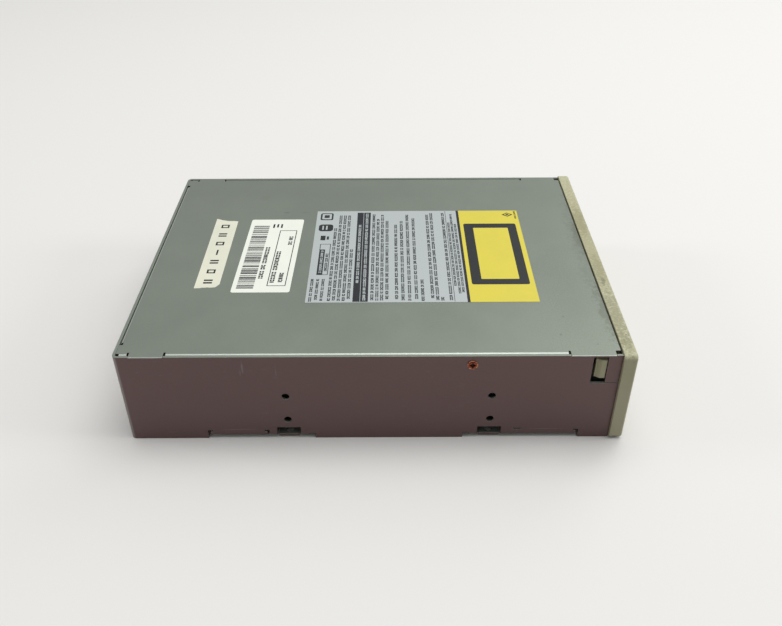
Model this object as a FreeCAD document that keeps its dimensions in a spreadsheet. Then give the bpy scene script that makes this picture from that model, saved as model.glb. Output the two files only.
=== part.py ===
import FreeCAD, Part
import math
import os
import Sketcher

# A half-height optical disc drive for a 5.25-inch bay, in millimetres.
# Front is -Y, rear is +Y, left is -X and up is +Z; it stands on Z = 0, centred on X and Y.
# The disc well and what lies round it give the case: 146 wide, 41.3 high and 190 long.
SIZES = {
    # folded case, covers and front bezel
    "case_sheet": 1.0,
    "side_gap": 2.6,
    "rear_room": 29.6,
    "top_room": 3.6,
    "corner_bend": 2.0,
    "cover_sheet": 0.8,
    "cover_bend": 1.3,
    "cover_skirt": 8.0,
    "cover_gap": 0.5,
    "bezel_reach": 1.5,
    "bezel_over": 0.6,
    "bezel_low": 0.5,
    "bezel_thick": 5.2,
    "bezel_wall": 2.2,
    "bezel_round": 0.9,
    "bezel_ease": 0.4,
    "slip": 0.3,
    # standard fixing holes
    "fix_pitch": 79.25,
    "fix_rear": 63.1,
    "fix_low": 9.91,
    "fix_high": 21.84,
    "fix_inset": 3.15,
    "fix_hole": 3.0,
    "boss_from_side": 7.5,
    "boss_past_rear_fix": 15.5,
    "boss_before_front_fix": 25.25,
    # lower flanges of the case
    "flange_low": 0.8,
    "flange_bend": 1.8,
    "flange_wide": 13.0,
    "flange_rear_reach": 32.1,
    "flange_mid_reach": 10.5,
    "flange_front_reach": 35.4,
    "flange_split": 55.4,
    "relief_wide": 0.9,
    "relief_high": 4.2,
    "relief_foot": 1.9,
    "foot_high": 0.8,
    "nick_wide": 2.4,
    "nick_high": 2.4,
    "lug_wide": 9.4,
    "lug_window": 5.7,
    # tabs of the top cover over the side walls
    "rear_tab_gap": 6.0,
    "rear_tab_long": 13.0,
    "front_tab_gap": 2.5,
    "front_tab_long": 17.0,
    "notch": 0.7,
    # cover screws and bezel latches
    "screw_rear": 134.1,
    "screw_down": 4.0,
    "screw_head": 4.0,
    "screw_shank": 2.6,
    "head_rise": 0.3,
    "cross_half": 0.3,
    "latch_back": 5.4,
    "latch_wide": 5.6,
    "latch_deep": 13.2,
    "latch_arm": 1.8,
    "tongue_wide": 3.9,
    "tongue_down": 2.5,
    "tongue_deep": 11.0,
    # rear connectors
    "board_thick": 1.6,
    "board_up": 4.6,
    "board_inset": 14.0,
    "board_start": 17.0,
    "header_high": 9.0,
    "header_deep": 10.0,
    "header_margin": 2.0,
    "port_margin": 3.0,
    "power_wide": 23.0,
    "power_high": 10.6,
    "jumper_wide": 8.0,
    "audio_wide": 12.0,
    "audio_high": 7.0,
    "port_wall": 1.0,
    "key_half": 2.2,
    "power_deep": 12.0,
    "power_floor": 3.0,
    "power_slope": 2.2,
    "power_pin": 1.05,
    "port_gap": 3.0,
    "pin_pitch": 2.54,
    "pin_thick": 0.64,
    "port_high": 17.6,
    # tray and its runners
    "tray_low": 24.0,
    "tray_deck": 6.0,
    "tray_ahead": 7.5,
    "tray_behind": 32.5,
    "gear_room": 68.0,
    "runner_step": 2.6,
    "runner_high": 2.6,
    "disc_well": 121.0,
    "well_rim": 2.5,
    "well_step": 20.0,
    "well_floor": 2.8,
    "small_floor": 1.6,
    "slot_half": 19.0,
    "slot_round": 8.0,
    "panel_past": 1.8,
    "panel_low": 20.2,
    "panel_high": 33.4,
    "panel_thick": 2.4,
    "panel_rim": 4.6,
    "panel_lap": 0.5,
    # loader frame
    "rail_wall": 3.5,
    "rail_above": 4.0,
    "rail_gap": 4.4,
    "rail_past": 8.0,
    "rail_low": 14.0,
    "ledge_thick": 2.3,
    "hook_thick": 2.0,
    "front_hook_start": 4.0,
    "front_hook_end": 26.0,
    "rear_hook_start": 54.0,
    "rear_hook_end": 14.0,
    "bridge_screw_off": 12.0,
    "deck_low": 14.6,
    "deck_thick": 1.8,
    "boss_radius": 3.6,
    # loading gears
    "gear_module": 1.0,
    "rack_inset": 6.0,
    "drive_behind": 21.0,
    "load_motor_behind": 19.0,
    "drive_small": 18.0,
    "drive_large": 30.0,
    "pulley_teeth": 15.0,
    "pulley_radius": 9.0,
    "motor_pulley_radius": 3.0,
    "belt_thick": 1.2,
    "load_motor_x": 14.0,
    "load_motor_radius": 11.0,
    "load_motor_high": 11.7,
    # traverse with spindle and pickup
    "pivot_behind": 77.0,
    "pivot_z": 14.5,
    "pivot_radius": 2.0,
    "lift_pin_x": 25.0,
    "lift_pin_radius": 1.5,
    "lift_drop": 4.4,
    "cam_travel": 8.0,
    "base_low": 13.0,
    "base_thick": 3.0,
    "base_ahead": 22.0,
    "base_behind": 82.0,
    "window_start": 14.0,
    "window_end": 79.0,
    "wing_start": 19.0,
    "wing_end": 59.0,
    "sled_gear_behind": 47.0,
    "base_half": 38.0,
    "window_half": 30.5,
    "disc_seat": 28.4,
    "table_radius": 15.0,
    "hub_radius": 7.4,
    "spindle_motor_radius": 13.0,
    "spindle_motor_high": 6.5,
    "shaft_radius": 1.0,
    "fit": 0.05,
    "guide_x": 27.0,
    "guide_z": 19.2,
    "guide_radius": 1.5,
    "sled_low": 16.8,
    "sled_high": 21.8,
    "lens_start": 23.0,
    "lens_radius": 2.8,
    "lens_wall": 0.8,
    "holder_half": 6.6,
    "holder_front": 4.8,
    "holder_rear": 5.2,
    "hood_half": 12.0,
    "hood_front": 6.6,
    "hood_rear": 14.0,
    "hood_skin": 0.5,
    "hood_window": 7.5,
    "carriage_half": 16.0,
    "carriage_deep": 5.6,
    "arm_wide": 8.0,
    "sled_front": 7.0,
    "sled_long": 27.0,
    "sled_travel": 35.0,
    "sled_module": 0.6,
    "sled_line": 33.5,
    "sled_small": 18.0,
    "sled_large": 42.0,
    "sled_pinion_teeth": 12.0,
    "sled_motor_x": 44.0,
    "wing_margin": 2.5,
    "sled_motor_radius": 7.5,
    "sled_motor_high": 7.0,
    # clamp
    "bridge_sheet": 1.2,
    "bridge_half": 16.0,
    "clamp_hole": 14.6,
    "clamp_neck": 14.0,
    "clamp_flange": 17.0,
    "clamp_rim": 1.4,
    # front controls
    "front_board_up": 5.2,
    "control_z": 10.2,
    "jack_inset": 17.0,
    "volume_inset": 35.0,
    "light_inset": 41.0,
    "pin_hole_inset": 34.0,
    "eject_inset": 22.0,
    "jack_bore": 3.6,
    "jack_half": 4.5,
    "jack_deep": 13.0,
    "jack_over": 4.0,
    "limit_x": 40.0,
    "limit_half": 4.0,
    "limit_start": 4.0,
    "limit_deep": 5.0,
    "lever_half": 1.0,
    "lever_start": 5.8,
    "lever_deep": 1.4,
    "eject_switch_half": 3.0,
    "eject_switch_deep": 4.0,
    "volume_radius": 8.0,
    "volume_bore": 1.6,
    "volume_box_half": 5.5,
    "volume_box_front": 5.0,
    "volume_box_rear": 6.5,
    "volume_ease": 0.3,
    "grip_radius": 0.6,
    "eject_wide": 14.0,
    "eject_high": 5.0,
    "eject_press": 1.2,
    "button_wall": 1.0,
    "button_post": 1.2,
    # labels on the top cover: each from the one behind it, and off the middle by its shift
    "label_thick": 0.1,
    "tape_gap": 21.85,
    "tape_shift": 1.8,
    "tape_wide": 10.3,
    "tape_long": 57.0,
    "tape_skew": 1.6,
    "white_gap": 5.35,
    "white_shift": -0.4,
    "white_wide": 25.0,
    "white_long": 60.7,
    "white_skew": 0.6,
    "plate_gap": 6.4,
    "plate_shift": -0.2,
    "plate_wide": 95.1,
    "plate_long": 76.0,
    # lesser sizes shared by several pieces
    "lug_margin": 0.6,
    "screw_hole": 1.3,
    "stud": 1.0,
    "board_head": 2.3,
    "bridge_head": 2.1,
    "bottom_head": 2.4,
    "pan_high": 1.3,
    "thin_head_high": 0.7,
    "driver_deep": 0.6,
    "driver_half": 0.3,
    "driver_margin": 1.0,
    "stand_radius": 2.6,
    "stand_inset": 4.0,
    "stand_from_front": 5.0,
    "stand_from_rear": 17.6,
    "front_stand_inset": 27.0,
    "front_stand_behind": 16.4,
    "dash_from_front": 35.0,
    "dash_long": 3.1,
    "dash_up": 4.2,
    "pin_hole": 0.8,
    "light_half": 3.0,
    "volume_thick": 2.6,
    "volume_grips": 36.0,
    "jack_wall": 1.3,
    "front_board_inset": 12.5,
    "front_board_behind": 24.4,
    "front_board_gap": 0.8,
    "motor_room": 1.5,
    "neck_deep": 5.0,
    "tray_corner": 3.0,
    "rib": 2.0,
    "root_depth": 1.05,
    "tip_height": 0.8,
    "backlash": 0.12,
    "teeth_ahead": 5.0,
    "cam_room": 3.4,
    "bar_deep": 5.0,
    "cam_margin": 7.0,
    "lug_thick": 5.6,
    "bush_radius": 4.5,
    "motor_neck": 3.6,
    "axle": 1.5,
    "spindle_neck": 4.6,
    "sled_neck": 2.2,
    "sled_axle": 0.75,
    "sled_gear_thick": 2.6,
    "mat_thick": 0.6,
    "focus_room": 0.6,
    "magnet_radius": 8.0,
    "cable_inset": 31.0,
    "chip_out": 28.0,
    "chip_in": 8.0,
    "chip_from_rear": 23.6,
    "servo_half": 7.0,
    "servo_high": 1.5,
    "decoder_half": 10.0,
    "decoder_deep": 7.0,
    "decoder_high": 2.4,
    "memory_half": 8.5,
    "memory_deep": 3.8,
    "memory_high": 2.6,
    "leg_reach": 1.2,
    "leg_thick": 0.3,
    "chip_corner": 0.6,
    "can_radius": 3.1,
    "can_high": 6.4,
    "can_inset": 10.0,
    "can_pitch": 8.5,
    "cable_half": 8.0,
    "label_corner": 1.5,
}


class Size:
    """A length that knows its value and the sheet formula that gives it."""

    def __init__(self, value, text):
        self.value = value
        self.text = text

    def __add__(self, other):
        return Size(self.value + number(other), f"({self.text} + {words(other)})")

    def __sub__(self, other):
        return Size(self.value - number(other), f"({self.text} - {words(other)})")

    def __mul__(self, other):
        return Size(self.value * number(other), f"({self.text} * {words(other)})")

    def __truediv__(self, other):
        return Size(self.value / number(other), f"({self.text} / {words(other)})")

    def __neg__(self):
        return Size(-self.value, f"(0 - {self.text})")

    def __radd__(self, other):
        return self + other

    def __rmul__(self, other):
        return self * other

    def __rsub__(self, other):
        return -self + other


class Names:
    """Holds every named size."""


def number(length):
    """The plain value of a size or of a number."""
    return length.value if isinstance(length, Size) else float(length)


def words(length):
    """The formula of a size or of a number."""
    return length.text if isinstance(length, Size) else repr(float(length))


def root(length):
    """The square root of a size."""
    return Size(math.sqrt(length.value), f"sqrt({length.text})")


def larger(one, other):
    """The larger of two sizes."""
    return Size(max(one.value, other.value), f"max({one.text}; {other.text})")


doc = FreeCAD.newDocument("disc_drive")
sheet = doc.addObject("Spreadsheet::Sheet", "Sizes")
places = doc.addObject("Spreadsheet::Sheet", "Places")
for row, (alias, value) in enumerate(SIZES.items(), 1):
    sheet.set(f"A{row}", alias)
    sheet.set(f"B{row}", str(value))
    sheet.setAlias(f"B{row}", alias)
doc.recompute()

size = Names()
for alias in SIZES:
    setattr(size, alias, Size(float(sheet.get(alias)), "Sizes." + alias))


def name_place(alias, length):
    """Keeps a worked-out place under a name of its own in the second sheet."""
    row = len(vars(place)) + 1
    places.set(f"A{row}", alias)
    places.set(f"B{row}", "=" + words(length).replace("Places.", ""))
    places.setAlias(f"B{row}", alias)
    setattr(place, alias, Size(number(length), "Places." + alias))


place = Names()
name_place("disc_radius", size.disc_well / 2)
name_place("small_well", size.disc_well - size.well_step * 2)
name_place("tray_half", place.disc_radius + size.well_rim)
name_place("runner_half", place.tray_half + size.runner_step)
name_place("rail_in", place.runner_half + size.slip)
name_place("rail_out", place.rail_in + size.rail_wall)
name_place("inner", place.rail_out + size.side_gap)
name_place("outer", place.inner + size.case_sheet)
name_place("runner_top", size.tray_low + size.runner_high)
name_place("tray_top", size.tray_low + size.tray_deck)
name_place("rail_high", place.tray_top + size.rail_above)
name_place("bridge_top", place.rail_high + size.bridge_sheet)
name_place("clamp_shelf", place.bridge_top + size.slip)
name_place("clamp_top", place.clamp_shelf + size.clamp_rim)
name_place("case_high", place.clamp_top + size.top_room + size.cover_sheet)
name_place("spindle_back", larger(size.gear_room, place.disc_radius + size.tray_ahead))
name_place("tray_long", place.spindle_back + place.disc_radius + size.tray_behind)
name_place("case_long", size.panel_rim + place.tray_long + size.rear_room - size.bezel_thick)
name_place("rear", (place.case_long + size.bezel_thick) / 2)
name_place("case_front", place.rear - place.case_long)
name_place("face", -place.rear)
name_place("tray_front", place.face + size.panel_rim)
name_place("spindle_y", place.tray_front + place.spindle_back)
name_place("tray_rear", place.tray_front + place.tray_long)
name_place("fix_x", place.outer - size.fix_inset)
name_place("fix_rear_y", place.rear - size.fix_rear)
name_place("fix_front_y", place.fix_rear_y - size.fix_pitch)
name_place("boss_x", place.outer - size.boss_from_side)
name_place("boss_rear_y", place.fix_rear_y + size.boss_past_rear_fix)
name_place("boss_front_y", place.fix_front_y - size.boss_before_front_fix)
name_place("flange_top", size.flange_low + size.case_sheet)
name_place("rear_flange_in", place.fix_rear_y - size.flange_mid_reach)
name_place("rear_flange_out", place.fix_rear_y + size.flange_rear_reach)
name_place("front_flange_in", place.fix_front_y + size.flange_mid_reach)
name_place("front_flange_out", place.fix_front_y - size.flange_front_reach)
name_place("plate_top", place.flange_top + size.cover_sheet)
name_place("cover_low", place.case_high - size.cover_sheet)
name_place("cover_side", place.inner - size.slip / 3)
name_place("cover_rear", place.rear - size.case_sheet - size.slip / 3)
name_place("screw_up", place.case_high - size.screw_down)
name_place("latch_low", place.case_high - size.latch_deep)
name_place("tongue_low", place.case_high - size.tongue_deep)
name_place("tongue_high", place.case_high - size.tongue_down)
name_place("panel_half", place.runner_half + size.panel_past)
name_place("board_top", size.board_up + size.board_thick)
name_place("board_half", place.inner - size.board_inset)
name_place("board_front", place.spindle_y + size.board_start)
name_place("board_rear", place.rear - size.case_sheet - size.slip * 3)
name_place("stand_x", place.board_half - size.stand_inset)
name_place("stand_front_y", place.board_front + size.stand_from_front)
name_place("stand_rear_y", place.rear - size.stand_from_rear)
name_place("deck_top", size.deck_low + size.deck_thick)
name_place("rack_line", -place.tray_half + size.rack_inset)
name_place("drive_x", place.rack_line + size.gear_module * size.drive_small / 2)
name_place("drive_y", place.tray_front + size.drive_behind)
name_place("pulley_x", place.drive_x + size.gear_module * (size.drive_large + size.pulley_teeth) / 2)
name_place("load_motor_y", place.tray_front + size.load_motor_behind)
name_place("lower_gear", place.deck_top + size.slip * 2)
name_place("gear_thick", size.gear_module * 2.6)
name_place("upper_gear", size.tray_low - size.slip - place.gear_thick)
name_place("rail_front", place.case_front + size.rail_gap)
name_place("rail_rear", place.tray_rear + size.rail_past)
name_place("pivot_y", place.spindle_y + size.pivot_behind)
name_place("base_top", size.base_low + size.base_thick)
name_place("base_front", place.spindle_y - size.base_ahead)
name_place("base_rear", place.spindle_y + size.base_behind)
name_place("window_front", place.spindle_y + size.window_start)
name_place("window_rear", place.spindle_y + size.window_end)
name_place("wing_front", place.spindle_y + size.wing_start)
name_place("wing_rear", place.spindle_y + size.wing_end)
name_place("wing_x", size.sled_motor_x + size.sled_motor_radius + size.wing_margin)
name_place("wall_front", place.base_front - size.slip * 13)
name_place("wall_rear", place.wall_front + 2.0)
name_place("cam_rear", place.wall_front - size.slip)
name_place("cam_front", place.cam_rear - 2.4)
name_place("deck_rear", place.cam_front - size.cam_room)
name_place("rest_bar", place.base_rear + 2.0)
name_place("lens_y", place.spindle_y + size.lens_start)
name_place("sled_start", place.lens_y - size.sled_front)
name_place("sled_end", place.sled_start + size.sled_long)
name_place("sled_gear_x", size.sled_line + size.sled_module * size.sled_small / 2)
name_place("sled_gear_y", place.spindle_y + size.sled_gear_behind)
name_place("sled_reach", size.sled_module * (size.sled_large + size.sled_pinion_teeth) / 2)
name_place("sled_motor_y", place.sled_gear_y - root(
    place.sled_reach * place.sled_reach
    - (size.sled_motor_x - place.sled_gear_x) * (size.sled_motor_x - place.sled_gear_x)))
name_place("power_left", size.port_margin - place.board_half)
name_place("header_left", place.power_left + size.power_wide + size.port_gap)
name_place("header_wide", place.board_half * 2 - size.port_margin * 2 - size.power_wide
           - size.jumper_wide - size.audio_wide - size.port_gap * 3)
name_place("jumper_left", place.header_left + place.header_wide + size.port_gap)
name_place("audio_left", place.jumper_left + size.jumper_wide + size.port_gap)
name_place("front_board_top", size.front_board_up + size.board_thick)
name_place("front_board_half", place.outer - size.front_board_inset)
name_place("front_board_rear", place.case_front + size.front_board_behind)
name_place("front_stand_x", place.outer - size.front_stand_inset)
name_place("front_stand_y", place.case_front + size.front_stand_behind)
name_place("jack_x", size.jack_inset - place.outer)
name_place("volume_x", size.volume_inset - place.outer)
name_place("volume_y", place.face + size.slip * 2 + size.volume_radius)
name_place("light_x", place.outer - size.light_inset)
name_place("pin_hole_x", place.outer - size.pin_hole_inset)
name_place("eject_x", place.outer - size.eject_inset)
name_place("cable_x", size.cable_inset - place.outer)
name_place("latch_y", place.case_front + size.latch_back)
name_place("rear_tab_end", place.rear - size.rear_tab_gap)
name_place("rear_tab_start", place.rear_tab_end - size.rear_tab_long)
name_place("front_tab_start", place.case_front + size.front_tab_gap)
name_place("front_tab_end", place.front_tab_start + size.front_tab_long)
name_place("dash_y", place.case_front + size.dash_from_front)
name_place("button_back", place.case_front + size.cover_gap)
name_place("belt_z", size.tray_low - size.slip - 1.7)
name_place("load_motor_low", size.deck_low - size.load_motor_high)
name_place("cam_low", size.pivot_z - size.lift_drop - size.lift_pin_radius * 2.4)
name_place("cam_high", size.pivot_z + size.lift_pin_radius * 2.4)
name_place("lug_in", size.base_half + size.slip)
name_place("lug_low", size.pivot_z - size.bush_radius - 1.0)
name_place("bridge_screw_x", (place.rail_in + place.rail_out) / 2)
name_place("tape_y", place.rear - size.tape_gap - size.tape_wide / 2)
name_place("white_y", place.tape_y - size.tape_wide / 2 - size.white_gap - size.white_wide / 2)
name_place("plate_y", place.white_y - size.white_wide / 2 - size.plate_gap - size.plate_wide / 2)

floor = size.slip * 0
PRESSURE = math.radians(20)
FLANK = math.tan(PRESSURE)
TINY = 0.001
pieces = []


def bind(target, path, length):
    target.setExpression(path, words(length))


def new_piece(name, x=0.0, y=0.0, loose_group=False):
    """A body of its own, built about its own upright axis at x and y."""
    piece = doc.addObject("PartDesign::Body", name)
    piece.Label = name
    piece.AllowCompound = loose_group
    bind(piece, "Placement.Base.x", x)
    bind(piece, "Placement.Base.y", y)
    pieces.append(piece)
    return piece


def sketch_on(piece, plane, offset):
    """A sketch on one of the piece's own planes, moved along that plane's axis."""
    sketch = piece.newObject("Sketcher::SketchObject", piece.Label + "_sketch")
    base = next(face for face in piece.Origin.OriginFeatures if face.Role == plane + "_Plane")
    sketch.AttachmentSupport = [(base, "")]
    sketch.MapMode = "FlatFace"
    bind(sketch, "AttachmentOffset.Base.z", -1 * offset if plane == "XZ" else offset)
    return sketch


def hold(sketch, kind, places_held, length):
    index = sketch.addConstraint(Sketcher.Constraint(kind, *places_held, number(length)))
    sketch.setExpression(f"Constraints[{index}]", words(length))


def circle(x, y, radius):
    def draw(sketch):
        middle = FreeCAD.Vector(number(x), number(y), 0)
        index = sketch.addGeometry(Part.Circle(middle, FreeCAD.Vector(0, 0, 1), number(radius)))
        hold(sketch, "DistanceX", (index, 3), x)
        hold(sketch, "DistanceY", (index, 3), y)
        hold(sketch, "Radius", (index,), radius)
    return draw


def outline(*points):
    """A closed outline of straight runs through points given as pairs."""
    def draw(sketch):
        count = len(points)
        spots = [FreeCAD.Vector(number(x), number(y), 0) for x, y in points]
        first = sketch.GeometryCount
        sketch.addGeometry([Part.LineSegment(spots[i], spots[(i + 1) % count]) for i in range(count)])
        for i, (x, y) in enumerate(points):
            following = first + (i + 1) % count
            sketch.addConstraint(Sketcher.Constraint("Coincident", first + i, 2, following, 1))
            hold(sketch, "DistanceX", (first + i, 1), x)
            hold(sketch, "DistanceY", (first + i, 1), y)
    return draw


def rectangle(left, right, low, high):
    return outline((left, low), (right, low), (right, high), (left, high))


def folded(*points):
    """A closed outline of level and upright runs; a third number in a point rounds its corner."""
    def draw(sketch):
        count = len(points)
        spots = [FreeCAD.Vector(number(p[0]), number(p[1]), 0) for p in points]
        bends = [p[2] if len(p) > 2 else None for p in points]
        ends = []
        for i in range(count):
            step = spots[(i + 1) % count] - spots[i]
            step.normalize()
            start = spots[i] + step * (number(bends[i]) if bends[i] else 0.0)
            after = bends[(i + 1) % count]
            stop = spots[(i + 1) % count] - step * (number(after) if after else 0.0)
            ends.append((start, stop, abs(step.x) > abs(step.y)))
        first = sketch.GeometryCount
        sketch.addGeometry([Part.LineSegment(start, stop) for start, stop, level in ends])
        for i, (start, stop, level) in enumerate(ends):
            sketch.addConstraint(Sketcher.Constraint("Horizontal" if level else "Vertical", first + i))
            hold(sketch, "DistanceY" if level else "DistanceX", (first + i, 1), points[i][1 if level else 0])
        for i in range(count):
            before = first + (i - 1) % count
            if bends[i] is None:
                sketch.addConstraint(Sketcher.Constraint("Coincident", before, 2, first + i, 1))
                continue
            entry, leave = ends[i - 1][1], ends[i][0]
            middle = entry + leave - spots[i]
            across = spots[i] - middle
            top = middle + across * (number(bends[i]) / across.Length)
            arc = sketch.addGeometry(Part.Arc(entry, top, leave))
            turn = (entry - middle).cross(leave - middle).z
            near, far = (1, 2) if turn > 0 else (2, 1)
            sketch.addConstraint(Sketcher.Constraint("Tangent", before, 2, arc, near))
            sketch.addConstraint(Sketcher.Constraint("Tangent", first + i, 1, arc, far))
            hold(sketch, "Radius", (arc,), bends[i])
    return draw


def drawn(piece, plane, offset, drawings):
    sketch = sketch_on(piece, plane, offset)
    for draw in drawings:
        draw(sketch)
    return sketch


def add(piece, plane, start, end, *drawings):
    """Adds material on a plane's outline, from start to end along the plane's axis."""
    feature = piece.newObject("PartDesign::Pad", piece.Label + "_pad")
    feature.Profile = drawn(piece, plane, start, drawings)
    bind(feature, "Length", end - start)
    feature.Reversed = plane == "XZ"


def cut(piece, plane, start, end, *drawings):
    """Takes material away on a plane's outline, from start to end along the plane's axis."""
    feature = piece.newObject("PartDesign::Pocket", piece.Label + "_pocket")
    feature.Profile = drawn(piece, plane, start, drawings)
    bind(feature, "Length", end - start)
    feature.Reversed = plane != "XZ"


def turn(piece, *points):
    """A turned form about the piece's upright axis; each point is a radius and a height."""
    feature = piece.newObject("PartDesign::Revolution", piece.Label + "_turned")
    feature.Profile = drawn(piece, "XZ", size.slip * 0, [outline(*points)])
    feature.ReferenceAxis = (feature.Profile[0], ["V_Axis"])
    feature.Angle = 360.0


def ease_edges(piece, radius, wanted):
    """Rounds the edges of the piece's last feature that the test picks by their middle point."""
    doc.recompute()
    tip = piece.Tip
    picked = []
    for index, edge in enumerate(tip.Shape.Edges, 1):
        middle = edge.valueAt((edge.FirstParameter + edge.LastParameter) / 2)
        if wanted(edge, middle):
            picked.append(f"Edge{index}")
    feature = piece.newObject("PartDesign::Fillet", piece.Label + "_round")
    feature.Base = (tip, picked)
    bind(feature, "Radius", radius)


def both(x):
    """A place and its mirror image across the middle plane."""
    return (-x, x)


def band(left, right):
    """The same stretch on both sides of the middle plane, as pairs of left and right."""
    return ((-right, -left), (left, right))


# Folded case: side walls, rear wall and lower flanges of one sheet.

def relief(y, side):
    """A hooked slot at the end of a lower bend, whose foot points to one side along the wall."""
    foot = y + size.relief_foot * side
    slot = y + size.relief_wide * side
    foot_low = size.relief_high - size.foot_high
    return outline((y, -size.case_sheet), (y, size.relief_high), (foot, size.relief_high), (foot, foot_low),
                   (slot, foot_low), (slot, -size.case_sheet))


def make_case():
    case = new_piece("case")
    wall = size.case_sheet
    past = place.outer + 1.0
    add(case, "XY", floor, place.case_high, folded(
        (-place.outer, place.case_front),
        (-place.inner, place.case_front),
        (-place.inner, place.rear - wall, size.corner_bend - wall),
        (place.inner, place.rear - wall, size.corner_bend - wall),
        (place.inner, place.case_front),
        (place.outer, place.case_front),
        (place.outer, place.rear, size.corner_bend),
        (-place.outer, place.rear, size.corner_bend)))
    bend_top = size.flange_low + size.flange_bend + size.slip
    edge = place.outer - size.flange_wide
    inside = size.flange_bend - wall
    stretches = [(place.rear_flange_in, place.rear_flange_out),
                 (place.front_flange_out, place.front_flange_in)]
    cut(case, "YZ", -past, past, *[rectangle(a, b, -wall, bend_top) for a, b in stretches])
    for a, b in stretches:
        add(case, "XZ", a, b,
            folded((-place.outer, bend_top), (-place.outer, size.flange_low, size.flange_bend),
                   (-edge, size.flange_low), (-edge, place.flange_top),
                   (-place.inner, place.flange_top, inside), (-place.inner, bend_top)),
            folded((place.outer, bend_top), (place.inner, bend_top),
                   (place.inner, place.flange_top, inside), (edge, place.flange_top),
                   (edge, size.flange_low), (place.outer, size.flange_low, size.flange_bend)))
    nick_rear = place.front_flange_in - size.nick_wide
    for left, right in band(place.inner - size.flange_bend, past):
        cut(case, "YZ", left, right,
            relief(place.rear_flange_out, -1), relief(place.rear - size.flange_split, 1),
            relief(place.front_flange_out, 1),
            rectangle(place.rear_flange_in, place.rear_flange_in + size.nick_wide, -wall, size.nick_high),
            rectangle(nick_rear, place.front_flange_in, -wall, size.nick_high))
    lugs = (place.fix_rear_y, place.fix_front_y)
    half_lug = size.lug_wide / 2
    lug_in = place.fix_x - size.fix_hole / 2 - size.lug_margin
    for left, right in band(lug_in, past):
        cut(case, "XY", -wall, size.lug_window,
            *[rectangle(left, right, y - half_lug, y + half_lug) for y in lugs])
    tongue = half_lug - size.lug_margin
    for left, right in band(lug_in - size.slip, place.outer - size.lug_margin):
        add(case, "XY", size.flange_low, place.flange_top,
            *[rectangle(left, right, y - tongue, y + tongue) for y in lugs])
    cut(case, "XY", floor, size.lug_window,
        *[circle(x, y, size.fix_hole / 2) for x in both(place.fix_x) for y in lugs],
        *[circle(x, y, size.screw_hole) for x in both(place.boss_x)
          for y in (place.boss_rear_y, place.boss_front_y)])
    screw_y = place.rear - size.screw_rear
    cut(case, "YZ", -past, past,
        *[circle(y, z, size.fix_hole / 2) for y in lugs for z in (size.fix_low, size.fix_high)],
        circle(screw_y, place.screw_up, size.screw_shank / 2 + size.slip / 3),
        rectangle(place.latch_y, place.latch_y + size.latch_wide, place.latch_low, place.cover_low),
        rectangle(place.dash_y, place.dash_y + size.dash_long, size.dash_up, size.dash_up + size.notch))
    for left, right in band(place.inner - size.slip, past):
        cut(case, "XY", place.cover_low, place.case_high + wall,
            rectangle(left, right, place.rear_tab_start, place.rear_tab_end),
            rectangle(left, right, place.front_tab_start, place.front_tab_end))
    groove = size.slip
    for left, right in band(place.outer - groove, past):
        cut(case, "XY", place.latch_low, place.latch_low + groove,
            rectangle(left, right, place.case_front - wall, place.latch_y))
    cut(case, "XZ", place.rear - wall * 2, place.rear + wall,
        rectangle(-place.board_half, place.board_half, size.board_up, size.port_high))


def make_top_cover():
    cover = new_piece("top_cover")
    skin = size.cover_sheet
    side = place.cover_side
    top = place.case_high
    skirt = top - size.cover_skirt
    bend = size.cover_bend
    rear_bend = place.cover_rear - bend
    add(cover, "XZ", place.case_front + size.cover_gap, rear_bend, folded(
        (-side, skirt), (-side, top, bend), (side, top, bend), (side, skirt),
        (side - skin, skirt), (side - skin, place.cover_low, bend - skin),
        (skin - side, place.cover_low, bend - skin), (skin - side, skirt)))
    corner = side - size.cover_skirt
    add(cover, "XY", place.cover_low, top,
        rectangle(-side + bend, -corner - size.notch * 2, rear_bend - skin, place.cover_rear),
        rectangle(corner + size.notch * 2, side - bend, rear_bend - skin, place.cover_rear))
    add(cover, "YZ", -corner, corner, folded(
        (rear_bend - skin, top), (rear_bend - skin, place.cover_low),
        (place.cover_rear - skin, place.cover_low, bend - skin), (place.cover_rear - skin, skirt),
        (place.cover_rear, skirt), (place.cover_rear, top, bend)))
    tabs = [(place.rear_tab_start, place.rear_tab_end), (place.front_tab_start, place.front_tab_end)]
    for left, right in band(side - bend - size.notch, place.outer + skin):
        cut(cover, "XY", skirt - skin, top + skin,
            rectangle(left, right, place.rear_tab_start - size.notch, place.rear_tab_end + size.notch),
            rectangle(left, right, place.case_front, place.front_tab_end + size.notch))
    for left, right in band(side - bend - size.notch * 2, place.outer):
        add(cover, "XY", place.cover_low, top,
            *[rectangle(left, right, a + size.slip / 3, b - size.slip / 3) for a, b in tabs])
    cut(cover, "YZ", -place.outer, place.outer,
        circle(place.rear - size.screw_rear, place.screw_up, size.screw_shank / 2))


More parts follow.
